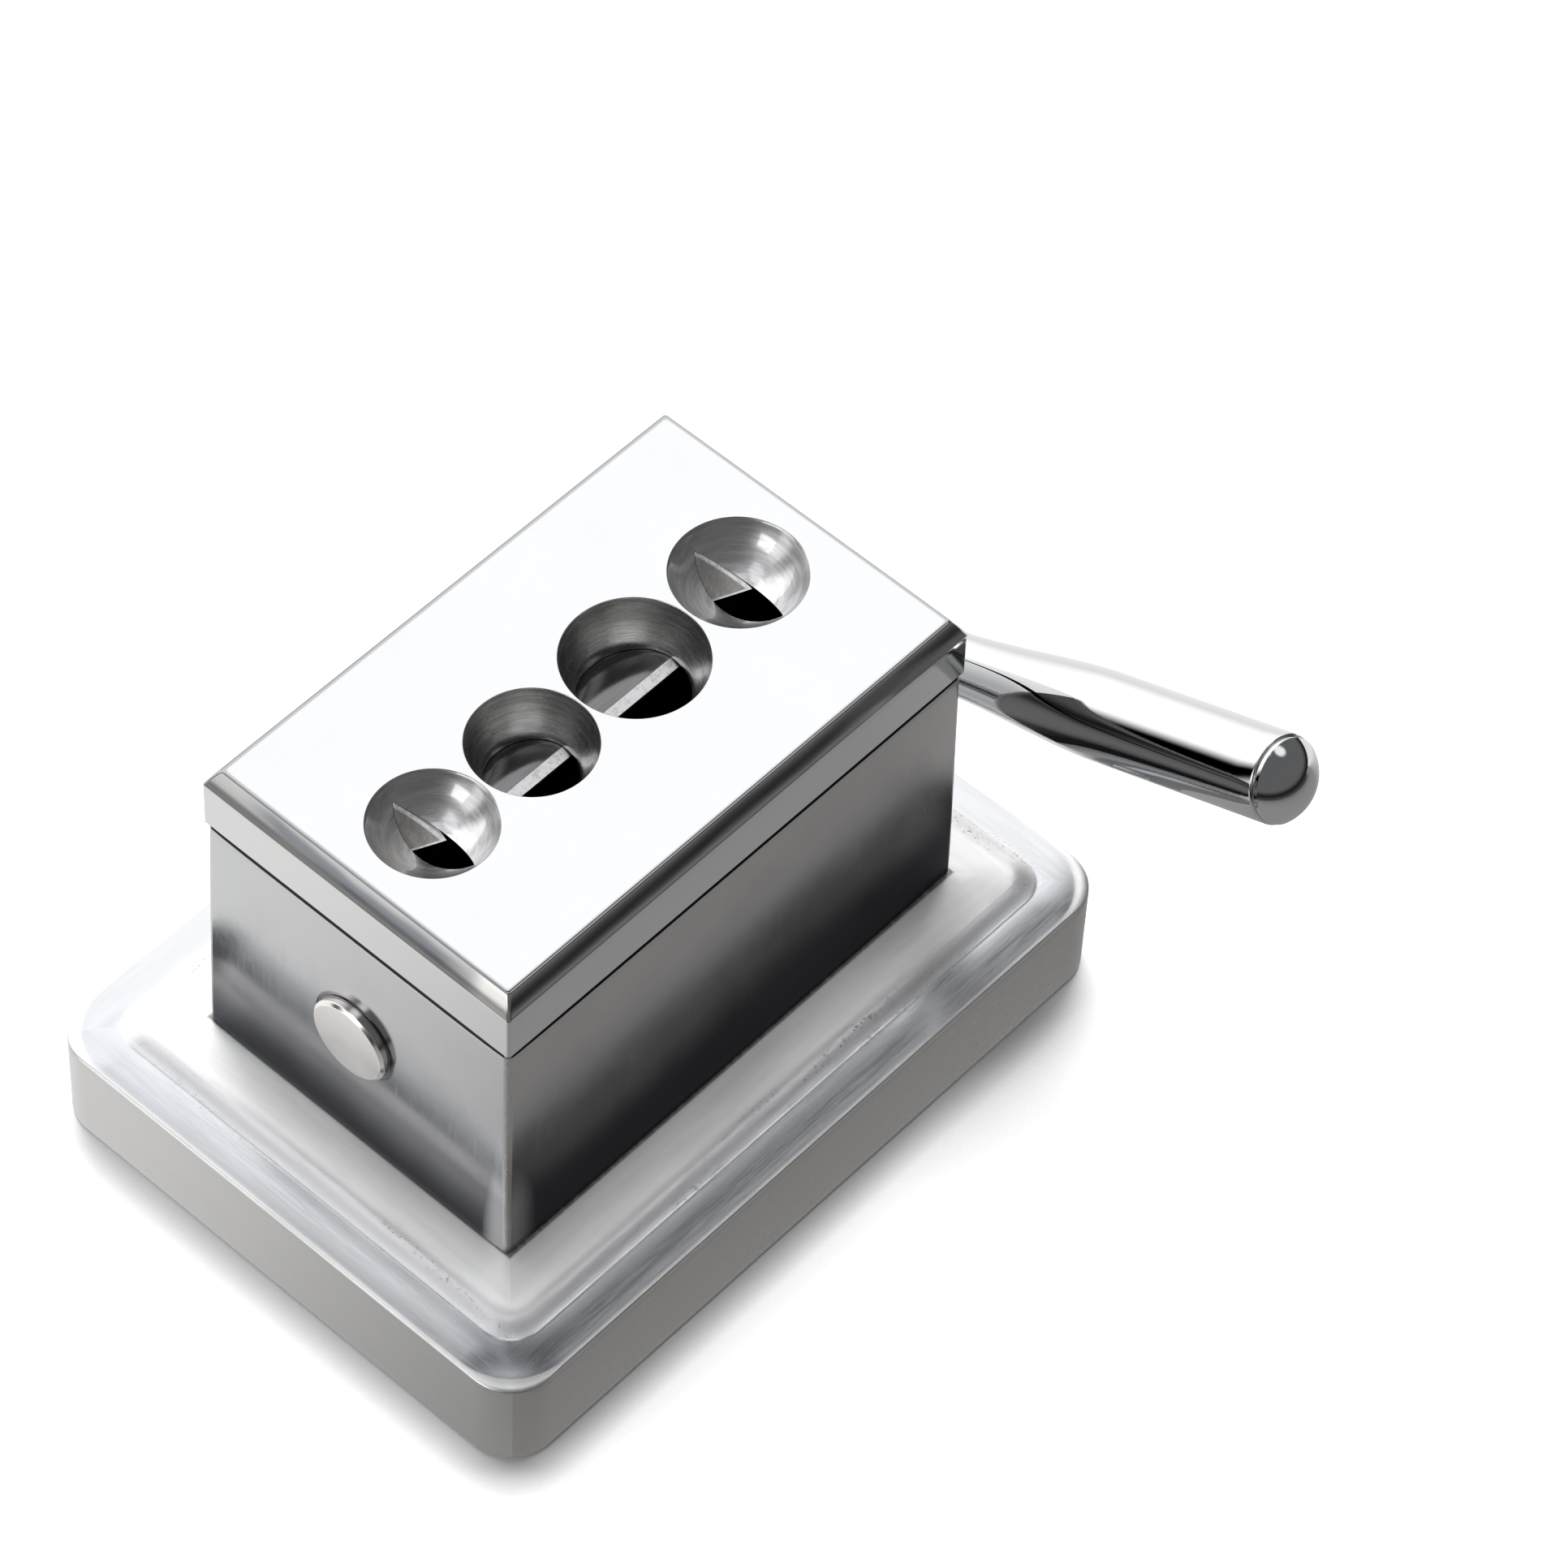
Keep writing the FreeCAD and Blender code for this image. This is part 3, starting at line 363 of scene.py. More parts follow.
def blade_metal():
    """Ground steel of the straight blades: painted shade on the flat, and a painted highlight on the bevel
    along the cutting edge.
    """
    n = Nodes("straight_blade_steel")
    up = n.math("SUBTRACT", n.z, SHAFT_Z)
    radius = n.length(n.x, up)
    bevel = n.remap(radius, BLADE_RADIUS - 0.05 * MM, BLADE_RADIUS - 0.02 * MM, 1.0, 0.0)
    bevel = n.times(bevel, n.math("GREATER_THAN", n.x, -2.2 * MM))
    lines = n.noise(1800.0, 4.0, 0.75, n.scaled(1.0, 0.05, 1.0))
    specks = n.noise(900.0, 3.0, 0.6)
    # painted shade on the flat and a painted highlight on the bevel: one steel in two tones
    flat = n.mix(n.remap(lines, 0.3, 0.7), (0.13, 0.13, 0.132), (0.17, 0.17, 0.172))
    bright = n.mix(n.remap(specks, 0.45, 0.7), (0.96, 0.96, 0.96), (0.70, 0.70, 0.70))
    roughness = n.math("ADD", n.between(bevel, 0.11, 0.30), n.remap(lines, 0.3, 0.8, 0.0, 0.05))
    return n.finish(Base_Color=n.mix(bevel, flat, bright), Metallic=1.0, Roughness=roughness,
                    Normal=n.bump(lines, 0.001 * MM))


def v_blade_metal(name, y):
    """Ground steel of a V blade: dull facets, and painted highlight lines along the ridge and the leading
    edge.
    """
    n = Nodes(name)
    ahead = n.math("SUBTRACT", n.times(n.math("SUBTRACT", n.x, RAKE_X), math.cos(RAKE)),
                   n.times(n.math("SUBTRACT", n.z, SHAFT_Z + TROUGH_RADIUS), math.sin(RAKE)))
    off = n.math("ABSOLUTE", n.math("SUBTRACT", n.y, y))
    edge = n.math("MAXIMUM", n.remap(off, 0.35 * MM, 0.6 * MM, 1.0, 0.0),
                  n.remap(n.math("ABSOLUTE", ahead), 0.25 * MM, 0.45 * MM, 1.0, 0.0))
    lines = n.noise(1500.0, 4.0, 0.75, n.scaled(1.0, 0.06, 0.5))
    flat = n.mix(n.remap(lines, 0.3, 0.7), (0.31, 0.30, 0.29), (0.42, 0.41, 0.395))
    # painted highlight lines along the ridge and the leading edge
    colour = n.mix(n.times(edge, n.remap(n.noise(700.0), 0.3, 0.6, 0.5, 1.0)), flat, (0.97, 0.97, 0.97))
    return n.finish(Base_Color=colour, Metallic=0.9, Roughness=n.remap(lines, 0.3, 0.8, 0.38, 0.46),
                    Normal=n.bump(lines, 0.0015 * MM))


def ground(name, colour, rough, grain, marks=0.003):
    """Steel off a grinder: close parallel lines along one axis."""
    n = Nodes(name)
    lines = n.noise(1800.0, 4.0, 0.75, n.scaled(*grain))
    patches = n.noise(90.0, 3.0, 0.6)
    tint = n.mix(n.remap(lines, 0.35, 0.7), shade(colour, 0.75), shade(colour, 1.15))
    roughness = n.math("ADD", n.remap(lines, 0.3, 0.8, rough * 0.7, rough * 1.3),
                       n.remap(patches, 0.4, 0.8, 0.0, 0.08))
    return n.finish(Base_Color=tint, Metallic=1.0, Roughness=roughness, Normal=n.bump(lines, marks * MM))


def soft_plastic(name, colour, rough, grain=0.02):
    """Rubber or nylon with a fine moulded grain."""
    n = Nodes(name)
    specks = n.noise(1500.0, 4.0, 0.65)
    tint = n.mix(n.remap(n.noise(200.0), 0.3, 0.7), shade(colour, 0.8), colour)
    roughness = n.remap(specks, 0.3, 0.7, rough - 0.08, rough + 0.08)
    return n.finish(Base_Color=tint, Roughness=roughness, Normal=n.bump(specks, grain * MM))


def lid_metal():
    """A mirror top; on the chamfers, a little rougher, painted light and shade: the end chamfers lighter
    and the long ones darker, a dark painted streak along the middle, a painted highlight towards the +X
    corners of the ends and a painted grey line along the top edge; painted shade in the joint underneath.
    """
    n = Nodes("lid_aluminium")
    across = n.math("ABSOLUTE", n.x)
    side = n.math("LESS_THAN", n.math("SUBTRACT", LID_HIGH.x, across),
                  n.math("SUBTRACT", LID_HIGH.y, n.math("ABSOLUTE", n.y)))
    drop = n.math("SUBTRACT", LID_TOP, n.z)
    chamfer = n.window(drop, 0.15 * MM, 4.4 * MM, 0.1 * MM)
    # painted shade: a dark streak along the middle of each chamfer, fading towards the corners
    wander = n.math("ADD", drop, n.between(n.noise(32.0, 2.0, 0.5), -2.2 * MM, 2.2 * MM))
    painted_streak = n.times(n.window(wander, 0.9 * MM, 2.9 * MM, 0.7 * MM), chamfer)
    painted_streak = n.times(painted_streak, n.remap(across, 22 * MM, 35 * MM, 1.0, n.between(side, 0.0, 0.5)))
    # painted highlight on the end chamfers towards the +X corners
    bright = n.times(chamfer, n.remap(n.x, 31 * MM, 36 * MM))
    bright = n.times(bright, n.math("SUBTRACT", 1.0, side))
    hairs = n.between(side, n.noise(1400.0, 3.0, 0.6, n.scaled(0.06, 1.0, 1.0)),
                      n.noise(1400.0, 3.0, 0.6, n.scaled(1.0, 0.06, 1.0)))
    patches = n.noise(55.0, 4.0, 0.6)
    tint = n.mix(n.remap(patches, 0.3, 0.7), (0.63, 0.63, 0.632), (0.64, 0.64, 0.64))
    # painted light and shade: end chamfers lighter and long-side chamfers darker than the top
    tint = n.mix(chamfer, tint, n.mix(side, (0.48, 0.48, 0.48), (0.80, 0.79, 0.78)))
    tint = n.mix(bright, tint, (0.80, 0.79, 0.78))
    # painted shade: a grey line along the softened top edge
    tint = n.mix(n.window(drop, 0.02 * MM, 0.25 * MM, 0.02 * MM), tint, (0.38, 0.385, 0.39))
    tint = n.mix(n.times(painted_streak, 0.75), tint, (0.15, 0.17, 0.20))
    # painted shade: the joint under the lid nearly black, with its reflection dimmed too
    seam = n.times(n.remap(n.z, LID_BOTTOM + 0.6 * MM, LID_BOTTOM + 0.8 * MM, 1.0, 0.0),
                   n.remap(n.noise(500.0, 3.0), 0.3, 0.5, 0.65, 1.0))
    tint = n.mix(seam, tint, (0.012, 0.012, 0.012))
    # painted shade: the chamfers' reflection at grazing angles dimmed to half
    edge = n.mix(chamfer, (1.0, 1.0, 1.0), (0.50, 0.50, 0.51))
    roughness = n.math("ADD", n.remap(patches, 0.3, 0.75, 0.08, 0.10), n.remap(hairs, 0.5, 0.8, 0.0, 0.05))
    roughness = n.math("ADD", roughness, n.times(chamfer, 0.08))
    normal = n.bump(n.noise(30.0, 2.0, 0.4), 0.02 * MM)
    normal = n.bump(hairs, 0.0015 * MM, normal)
    return n.finish(Base_Color=tint, Metallic=1.0, Roughness=roughness, Normal=normal,
                    Specular_Tint=n.mix(seam, edge, (0.05, 0.05, 0.05)))


def housing_metal():
    """Polished walls with painted shade and reflection: darker towards the foot except near two corners,
    cooler on the end walls and warmer on the long ones, dark in the joint under the lid and in a ring round
    the pivot cap. The vertical edges are rubbed lighter.
    """
    n = Nodes("housing_aluminium")
    foot = HOUSING_LOW.z
    side = n.math("GREATER_THAN", n.math("SUBTRACT", n.math("ABSOLUTE", n.x), n.math("ABSOLUTE", n.y)),
                  HOUSING_HIGH.x - HOUSING_HIGH.y)
    ripple = n.noise(28.0, 2.0, 0.5, n.scaled(1.0, 1.0, 0.4))
    height = n.math("ADD", n.z, n.between(ripple, -6 * MM, 6 * MM))
    # painted shade: the walls darken towards the foot (end walls less), lifted near the -Y end of the long
    # walls and the +X end of the end walls
    long_wall = n.remap(height, foot + 14 * MM, foot + 48 * MM, 0.06, 1.0)
    long_wall = n.math("MAXIMUM", long_wall, n.remap(n.y, -70 * MM, -60 * MM, 0.55, 0.0))
    end_wall = n.remap(height, foot + 2 * MM, foot + 42 * MM, 0.10, 1.0)
    end_wall = n.math("MAXIMUM", end_wall, n.remap(n.x, 36.0 * MM, 41.5 * MM, 0.0, 1.0))
    dark = n.between(side, end_wall, long_wall)
    patches = n.noise(60.0, 4.0, 0.6)
    hairs = n.noise(1300.0, 3.0, 0.6, n.scaled(1.0, 1.0, 0.08))
    # painted reflection colour: end walls a cooler grey, long walls a warmer one
    cool = n.mix(side, (0.53, 0.535, 0.545), (0.50, 0.49, 0.485))
    tint = n.mix(dark, (0.018, 0.020, 0.024), cool)
    # painted shade: a dark ragged band in the joint under the lid
    ragged = n.math("ADD", n.z, n.between(n.noise(400.0, 4.0, 0.7), -0.15 * MM, 0.15 * MM))
    seam = n.remap(ragged, HOUSING_HIGH.z - 1.30 * MM, HOUSING_HIGH.z - 1.12 * MM, 0.0, 0.97)
    # painted shade: a dark ring on the -Y end wall round the pivot cap
    up = n.math("SUBTRACT", n.z, SHAFT_Z)
    off_shaft = n.length(n.x, up)
    ring = n.times(n.remap(off_shaft, 10.9 * MM, 11.9 * MM, 0.5, 0.0),
                   n.math("LESS_THAN", n.y, -66 * MM))
    seam = n.math("MAXIMUM", seam, ring)
    tint = n.mix(seam, tint, (0.012, 0.012, 0.012))
    # painted shade: where the walls are painted dark they also reflect less at grazing angles
    edge = n.mix(n.remap(n.math("SUBTRACT", dark, seam), 0.0, 0.45), (0.55, 0.55, 0.57), (1.0, 1.0, 1.0))
    roughness = n.math("ADD", n.between(side, 0.11, 0.19), n.remap(patches, 0.35, 0.75, 0.0, 0.06))
    roughness = n.math("ADD", roughness, n.remap(hairs, 0.5, 0.8, 0.0, 0.06))
    pits = n.times(n.remap(n.noise(900.0, 2.0, 0.5), 0.62, 0.72),
                   n.remap(n.z, foot + 0.5 * MM, foot + 2.5 * MM, 1.0, 0.0))
    lean = n.between(n.math("DIVIDE", n.math("SUBTRACT", n.z, foot), HOUSING_HIGH.z - foot), 0.0, 1.1 * MM)
    reach_x = n.math("ADD", n.math("ABSOLUTE", n.x), lean)
    reach_y = n.math("ADD", n.math("ABSOLUTE", n.y), lean)
    worn = n.times(n.remap(reach_x, 43.2 * MM, 43.6 * MM), n.remap(reach_y, 69.45 * MM, 69.85 * MM))
    nicks = n.times(worn, n.remap(n.noise(1500.0, 3.0, 0.6, n.scaled(0.3, 0.3, 1.0)), 0.4, 0.6))
    tint = n.mix(n.times(worn, 0.55), tint, (0.66, 0.64, 0.62))
    roughness = n.math("ADD", roughness, n.times(worn, 0.15))
    normal = n.bump(n.noise(24.0, 1.5, 0.4), 0.10 * MM)
    normal = n.bump(hairs, 0.0015 * MM, normal)
    normal = n.bump(pits, -0.1 * MM, normal)
    normal = n.bump(nicks, -0.05 * MM, normal)
    return n.finish(Base_Color=tint, Metallic=1.0, Roughness=roughness, Normal=normal, Specular_Tint=edge)


def base_metal():
    """Cast aluminium: a satin plateau brushed along its edges, a smooth ledge, and sides, with painted
    light and shade: a painted highlight on the burnished rim, the long sides darker than the ends, painted
    shade on the ledge at the +X -Y corner, and painted shade with some dirt where the housing stands.
    """
    n = Nodes("base_aluminium")
    away_x = n.math("SUBTRACT", BASE_HIGH.x, n.math("ABSOLUTE", n.x))
    away_y = n.math("SUBTRACT", BASE_HIGH.y, n.math("ABSOLUTE", n.y))
    side = n.math("LESS_THAN", away_x, away_y)
    strokes = n.between(side, n.noise(1500.0, 4.0, 0.7, n.scaled(0.05, 1.0, 1.0)),
                        n.noise(1500.0, 4.0, 0.7, n.scaled(1.0, 0.05, 1.0)))
    broad = n.between(side, n.noise(170.0, 4.0, 0.6, n.scaled(0.12, 1.0, 1.0)),
                      n.noise(170.0, 4.0, 0.6, n.scaled(1.0, 0.12, 1.0)))
    height = n.math("ADD", n.z, n.between(n.noise(90.0, 3.0), -0.12 * MM, 0.12 * MM))
    top = n.remap(n.z, RIM_Z - 0.9 * MM, RIM_Z - 0.5 * MM)
    rim = n.window(n.z, RIM_Z - 0.55 * MM, RIM_Z + 0.02 * MM, 0.1 * MM)
    ledge = n.window(n.z, RIM_Z + 0.04 * MM, LEDGE_Z + 0.15 * MM, 0.06 * MM)
    step = n.window(height, LEDGE_Z + 0.1 * MM, STEP_Z, 0.2 * MM)
    plateau = n.remap(height, STEP_Z - 0.2 * MM, STEP_Z + 0.2 * MM)
    foot = n.remap(n.math("MINIMUM", away_x, away_y), FOOT_INSET - 0.9 * MM, FOOT_INSET - 0.2 * MM)

    # painted shade: the long sides (towards +X and -X) darker than the ends
    colour = n.mix(top, n.mix(side, (0.56, 0.555, 0.55), (0.47, 0.46, 0.45)), (0.66, 0.66, 0.67))
    mitre = n.math("ABSOLUTE", n.math("SUBTRACT", away_x, away_y))
    # painted shade on the ledge at the +X -Y corner, strongest along the mitre
    near_corner = n.remap(n.math("SUBTRACT", n.x, n.y), 90 * MM, 130 * MM)
    shaded = n.times(n.times(ledge, near_corner), n.remap(mitre, 4 * MM, 20 * MM, 0.8, 0.0))
    colour = n.mix(ledge, colour, (0.61, 0.62, 0.64))
    colour = n.mix(shaded, colour, (0.32, 0.335, 0.36))
    colour = n.mix(step, colour, (0.75, 0.75, 0.76))
    # painted highlight along the rim, which is also burnished
    colour = n.mix(rim, colour, (0.95, 0.95, 0.94))
    colour = n.mix(plateau, colour, (0.86, 0.86, 0.86))
    streaks = n.times(n.remap(broad, 0.42, 0.68), n.between(top, 0.03, 0.16))
    colour = n.mix(streaks, colour, (0.30, 0.30, 0.31))
    pits = n.times(n.remap(n.noise(1500.0, 3.0, 0.6), 0.58, 0.66),
                   n.times(step, n.remap(broad, 0.45, 0.65)))
    # painted shade, with some dirt, where the housing stands on the plateau
    grime_and_shade = n.times(foot, n.remap(n.noise(700.0, 3.0), 0.3, 0.6, 0.8, 1.0))
    colour = n.mix(n.times(pits, 0.6), colour, (0.14, 0.14, 0.14))
    colour = n.mix(n.times(grime_and_shade, 0.8), colour, (0.06, 0.06, 0.06))

    roughness = n.between(top, 0.27, 0.36)
    roughness = n.between(ledge, roughness, 0.19)
    roughness = n.between(plateau, roughness, 0.40)
    uneven = n.times(n.remap(strokes, 0.35, 0.75, -0.03, 0.06), n.between(top, 0.3, 1.0))
    roughness = n.math("ADD", roughness, uneven)
    metallic = n.between(plateau, n.between(step, 1.0, 0.85), 0.55)
    normal = n.bump(n.times(strokes, n.between(top, 0.06, 1.0)), 0.0022 * MM)
    normal = n.bump(n.noise(22.0, 2.0, 0.4), 0.03 * MM, normal)
    normal = n.bump(n.times(step, n.noise(500.0, 3.0, 0.6)), 0.03 * MM, normal)
    normal = n.bump(pits, -0.06 * MM, normal)
    return n.finish(Base_Color=colour, Metallic=metallic, Roughness=roughness, Normal=normal)


def chrome():
    """Bright plating: a mirror with faint orange peel and a few wiping marks."""
    n = Nodes("lever_chrome")
    wipes = n.noise(220.0, 4.0, 0.6, n.scaled(0.2, 1.0, 0.5))
    roughness = n.remap(wipes, 0.45, 0.8, 0.025, 0.07)
    normal = n.bump(n.noise(160.0, 2.0, 0.5), 0.003 * MM)
    normal = n.bump(n.noise(26.0, 1.0), 0.03 * MM, normal)
    return n.finish(Base_Color=(0.66, 0.67, 0.68), Metallic=1.0, Roughness=roughness, Normal=normal)


def black_oxide():
    n = Nodes("black_oxide")
    grains = n.noise(900.0, 4.0, 0.6)
    colour = n.mix(n.remap(grains, 0.4, 0.7), (0.02, 0.02, 0.022), (0.045, 0.045, 0.05))
    return n.finish(Base_Color=colour, Metallic=0.7, Roughness=n.remap(grains, 0.3, 0.7, 0.35, 0.5),
                    Normal=n.bump(grains, 0.004 * MM))


# Base ---------------------------------------------------------------------------------------------

def base_profile():
    """(inset, height, corner radius) from the bottom edge, up the side and in to the plateau."""
    low, corner = BASE_LOW.z, 11.5 * MM
    bevel = 0.6 * MM
    profile = [(bevel, low, corner - bevel)]
    for r, z in arc(bevel, low + bevel, bevel, -90, -180, 5)[1:]:
        profile.append((r, z, corner))
    for i in range(1, 12):
        profile.append((0.0, low + bevel + (RIM_Z - RIM_ROUND - low - bevel) * i / 12, corner))
    for i in range(1, 10):
        angle = math.radians(180 - 84 * i / 9)
        profile.append((RIM_ROUND * (1 + math.cos(angle)), RIM_Z - RIM_ROUND * (1 - math.sin(angle)),
                        corner + 4.0 * MM * (i / 9) ** 2))
    for i in range(1, 15):
        share = i / 14
        profile.append((RIM_ROUND + (LEDGE_INSET - RIM_ROUND - 1.0 * MM) * share,
                        RIM_Z + (LEDGE_Z - RIM_Z) * (share * 1.4 - share ** 2 * 0.4),
                        corner + (4.0 - 7.0 * share) * MM))
    for i in range(1, 17):
        share = i / 16
        ease = share * share * (3 - 2 * share)
        profile.append((LEDGE_INSET - 1.0 * MM + (STEP_INSET - LEDGE_INSET + 1.6 * MM) * share,
                        LEDGE_Z + (STEP_Z - LEDGE_Z) * ease, (8.5 - 2.8 * share) * MM))
    last = profile[-1][0]
    for i in range(1, 9):
        share = i / 8
        profile.append((last + (FOOT_INSET + 0.3 * MM - last) * share,
                        STEP_Z + (BASE_HIGH.z - STEP_Z) * (share * 1.1 - share ** 2 * 0.1),
                        (5.7 - 4.2 * share) * MM))
    return profile


def make_base():
    rings = [rounded_outline(BASE_HIGH.x - inset, BASE_HIGH.y - inset, corner, height)
             for inset, height, corner in base_profile()]
    base = skin("base_body", rings)
    cover_low, cover_high = node_box("base_cover")
    gap = Vector((0.3, 0.3, 0)) * MM
    under = Vector((0, 0, 5)) * MM
    pad_low, pad_high = node_box("base_pad")
    window = Vector((48, 72, 0)) * MM
    seat = block("cut_seat", pad_low - gap - under, pad_high + gap)
    carve(seat, [block("cut_window", -window - under, window + under)])
    carve(base, [block("cut_chute", (-32 * MM, -50 * MM, -0.01), (32 * MM, 50 * MM, 0.1)), seat,
                 block("cut_cover", cover_low - gap - under, cover_high + gap)])
    settle(smooth(base), "housing", [base_metal()], "base")


def make_housing():
    foot, head = Vector((44.55, 70.8)) * MM, Vector((43.45, 69.7)) * MM
    height = HOUSING_HIGH.z - HOUSING_LOW.z
    crown = 0.24 * MM
    radius = 1.5 * MM
    rings = []
    for inset, rise in ((0.5, 0.0), (0.15, 0.12), (0.0, 0.5)):
        rings.append(rounded_outline(foot.x - inset * MM, foot.y - inset * MM, radius,
                                     HOUSING_LOW.z + rise * MM, crown))
    levels = 24
    for i in range(1, levels):
        share = i / levels
        size = foot.lerp(head, share)
        swell = 0.10 * MM * (1 - (2 * share - 1) ** 6)
        rings.append(rounded_outline(size.x + swell, size.y + swell, radius,
                                     HOUSING_LOW.z + height * share, crown))
    for inset, drop in ((0.0, 1.05), (0.12, 0.85), (0.9, 0.06), (1.0, 0.0)):
        rings.append(rounded_outline(head.x - inset * MM, head.y - inset * MM, radius,
                                     HOUSING_HIGH.z - drop * MM, crown))
    housing = skin("housing_shell", rings)
    room = Vector((38.3, 60.95)) * MM
    bush_radius = 8.5 * MM
    cutters = [block("cut_room", (-room.x, -room.y, 0), (room.x, room.y, 0.2)),
               lathe("cut_bore", [(bush_radius, -0.1), (bush_radius, 0.1)], 64, ALONG_Y)]
    for near, far in ((-0.08, -70.3 * MM), (70.3 * MM, 0.08)):
        cutters.append(lathe("cut_spot", [(11.4 * MM, near), (11.4 * MM, far)], 96, ALONG_Y))
    carve(housing, cutters)
    settle(smooth(housing), "housing", [housing_metal()], "housing")


# Lid ----------------------------------------------------------------------------------------------

def lid_ring(inset, rise, radius=0.7):
    return rounded_outline((43.94 - inset) * MM, (70.19 - inset) * MM, radius * MM, LID_BOTTOM + rise * MM,
                           crown=0.05 * MM)


def lid_rings():
    """The plate: upright edge, chamfer with a slight belly, and a softened top edge."""
    rings = [lid_ring(0.9, 0.0), lid_ring(0.2, 0.4), lid_ring(0.0, 0.6)]
    rings += [lid_ring(0.0, 0.6 + 12.2 * i / 6) for i in range(1, 6)]
    rings += [lid_ring(0.0, 12.8), lid_ring(0.03, 12.97), lid_ring(0.14, 13.15)]
    for i in range(1, 10):
        share = i / 10
        rings.append(lid_ring(0.14 + 2.51 * share - 0.15 * math.sin(math.pi * share), 13.15 + 4.05 * share))
    soft_edge = ((2.68, 17.22), (2.8, 17.33), (3.05, 17.42), (3.4, 17.47), (3.9, 17.5), (4.2, 17.5))
    return rings + [lid_ring(inset, rise) for inset, rise in soft_edge]


def bore_cutter(y, radius, throat):
    bottom = SHAFT_Z + TROUGH_RADIUS
    depth = LID_TOP - bottom
    profile = [(throat, bottom - 3 * MM), (throat, bottom + 0.4 * MM)]
    for i in range(1, 13):
        share = i / 12
        bow = 0.4 * MM * math.sin(math.pi * share)
        profile.append((throat + (radius - throat - 0.1 * MM) * share + bow,
                        bottom + 0.4 * MM + (depth - 0.65 * MM) * share))
    profile += arc(radius + 0.15 * MM, LID_TOP - 0.25 * MM, 0.25 * MM, 180, 100, 5)
    profile.append((radius + 0.15 * MM, LID_TOP + 2 * MM))
    return lathe("cut_bore", profile, 192, Matrix.Translation((0, y, 0)))


def dish_cutter(y, radius, ball):
    middle = LID_TOP + math.sqrt(ball ** 2 - radius ** 2)
    rim_angle = math.degrees(math.asin(radius / ball))
    profile = arc(0, middle, ball, -90, rim_angle - 91.5, 36)
    profile[0] = (0.0, middle - ball)
    profile += [(radius + 0.06 * MM, LID_TOP - 0.06 * MM), (radius + 0.2 * MM, LID_TOP + 0.01 * MM)]
    profile.append((radius + 0.3 * MM, LID_TOP + 2 * MM))
    return lathe("cut_dish", profile, 192, Matrix.Translation((0, y, 0)))


def groove_cutter(y):
    low = TROUGH_RADIUS - 2 * MM
    half = (GROOVE_RADIUS - low) * GROOVE_SLOPE
    section = [(y - half, low), (y + half, low), (y, GROOVE_RADIUS)]
    return sweep_about_shaft("cut_groove", section, -55, 55, 110)


def make_lid():
    lid = skin("lid_plate", lid_rings())
    end = 60.95 * MM
    cutters = [lathe("cut_trough", [(TROUGH_RADIUS, -end), (TROUGH_RADIUS, end)], 360, ALONG_Y)]
    cutters += [bore_cutter(*bore) for bore in BORES]
    for dish in DISHES:
        cutters += [dish_cutter(*dish), groove_cutter(dish[0])]
    carve(lid, cutters)
    materials = [lid_metal()]
    # the last number of each hole is the strength of the painted shade on its rim towards -X
    holes = [(dish[0], dish[1], "dish", (0.84, 0.84, 0.85), 0.36, 0.004, 1.0, 0.7) for dish in DISHES]
    holes += [(bore[0], bore[1], "bore", (0.58, 0.575, 0.57), 0.30, 0.010, 0.4, 0.1) for bore in BORES]
    for y, radius, kind, colour, rough, marks, polish, rim_shade in holes:
        materials.append(turned(f"lid_{kind}_{len(materials)}", colour, rough, y, marks, polish,
                                rim_shade))
    materials.append(black_oxide())
    settle(smooth(lid), "housing", materials, "lid")
    for polygon in lid.data.polygons:
        centre = polygon.center
        if abs(polygon.normal.z) > 0.9999 and centre.z > LID_TOP - 0.01 * MM:
            polygon.use_smooth = False
            continue
        for index, (y, radius, *rest) in enumerate(holes, 1):
            if math.hypot(centre.x, centre.y - y) < radius + 0.35 * MM:
                polygon.material_index = index
        for y, radius, ball in DISHES:
            reach = (centre - Vector((0, y, LID_TOP + math.sqrt(ball ** 2 - radius ** 2)))).length
            if math.hypot(centre.x, centre.y - y) < radius and reach > ball + 0.1 * MM:
                polygon.material_index = len(materials) - 1


# Lever and cap ------------------------------------------------------------------------------------

def lever_matrix():
    """Local Z runs out along the lever from the shaft's axis."""
    low, high = node_box("lever_arm")
    middle = Vector((0, (low.y + high.y) / 2, SHAFT_Z))
    return Matrix.Translation(middle) @ Matrix.Rotation(math.pi / 2 - LEVER_ANGLE, 4, "Y")


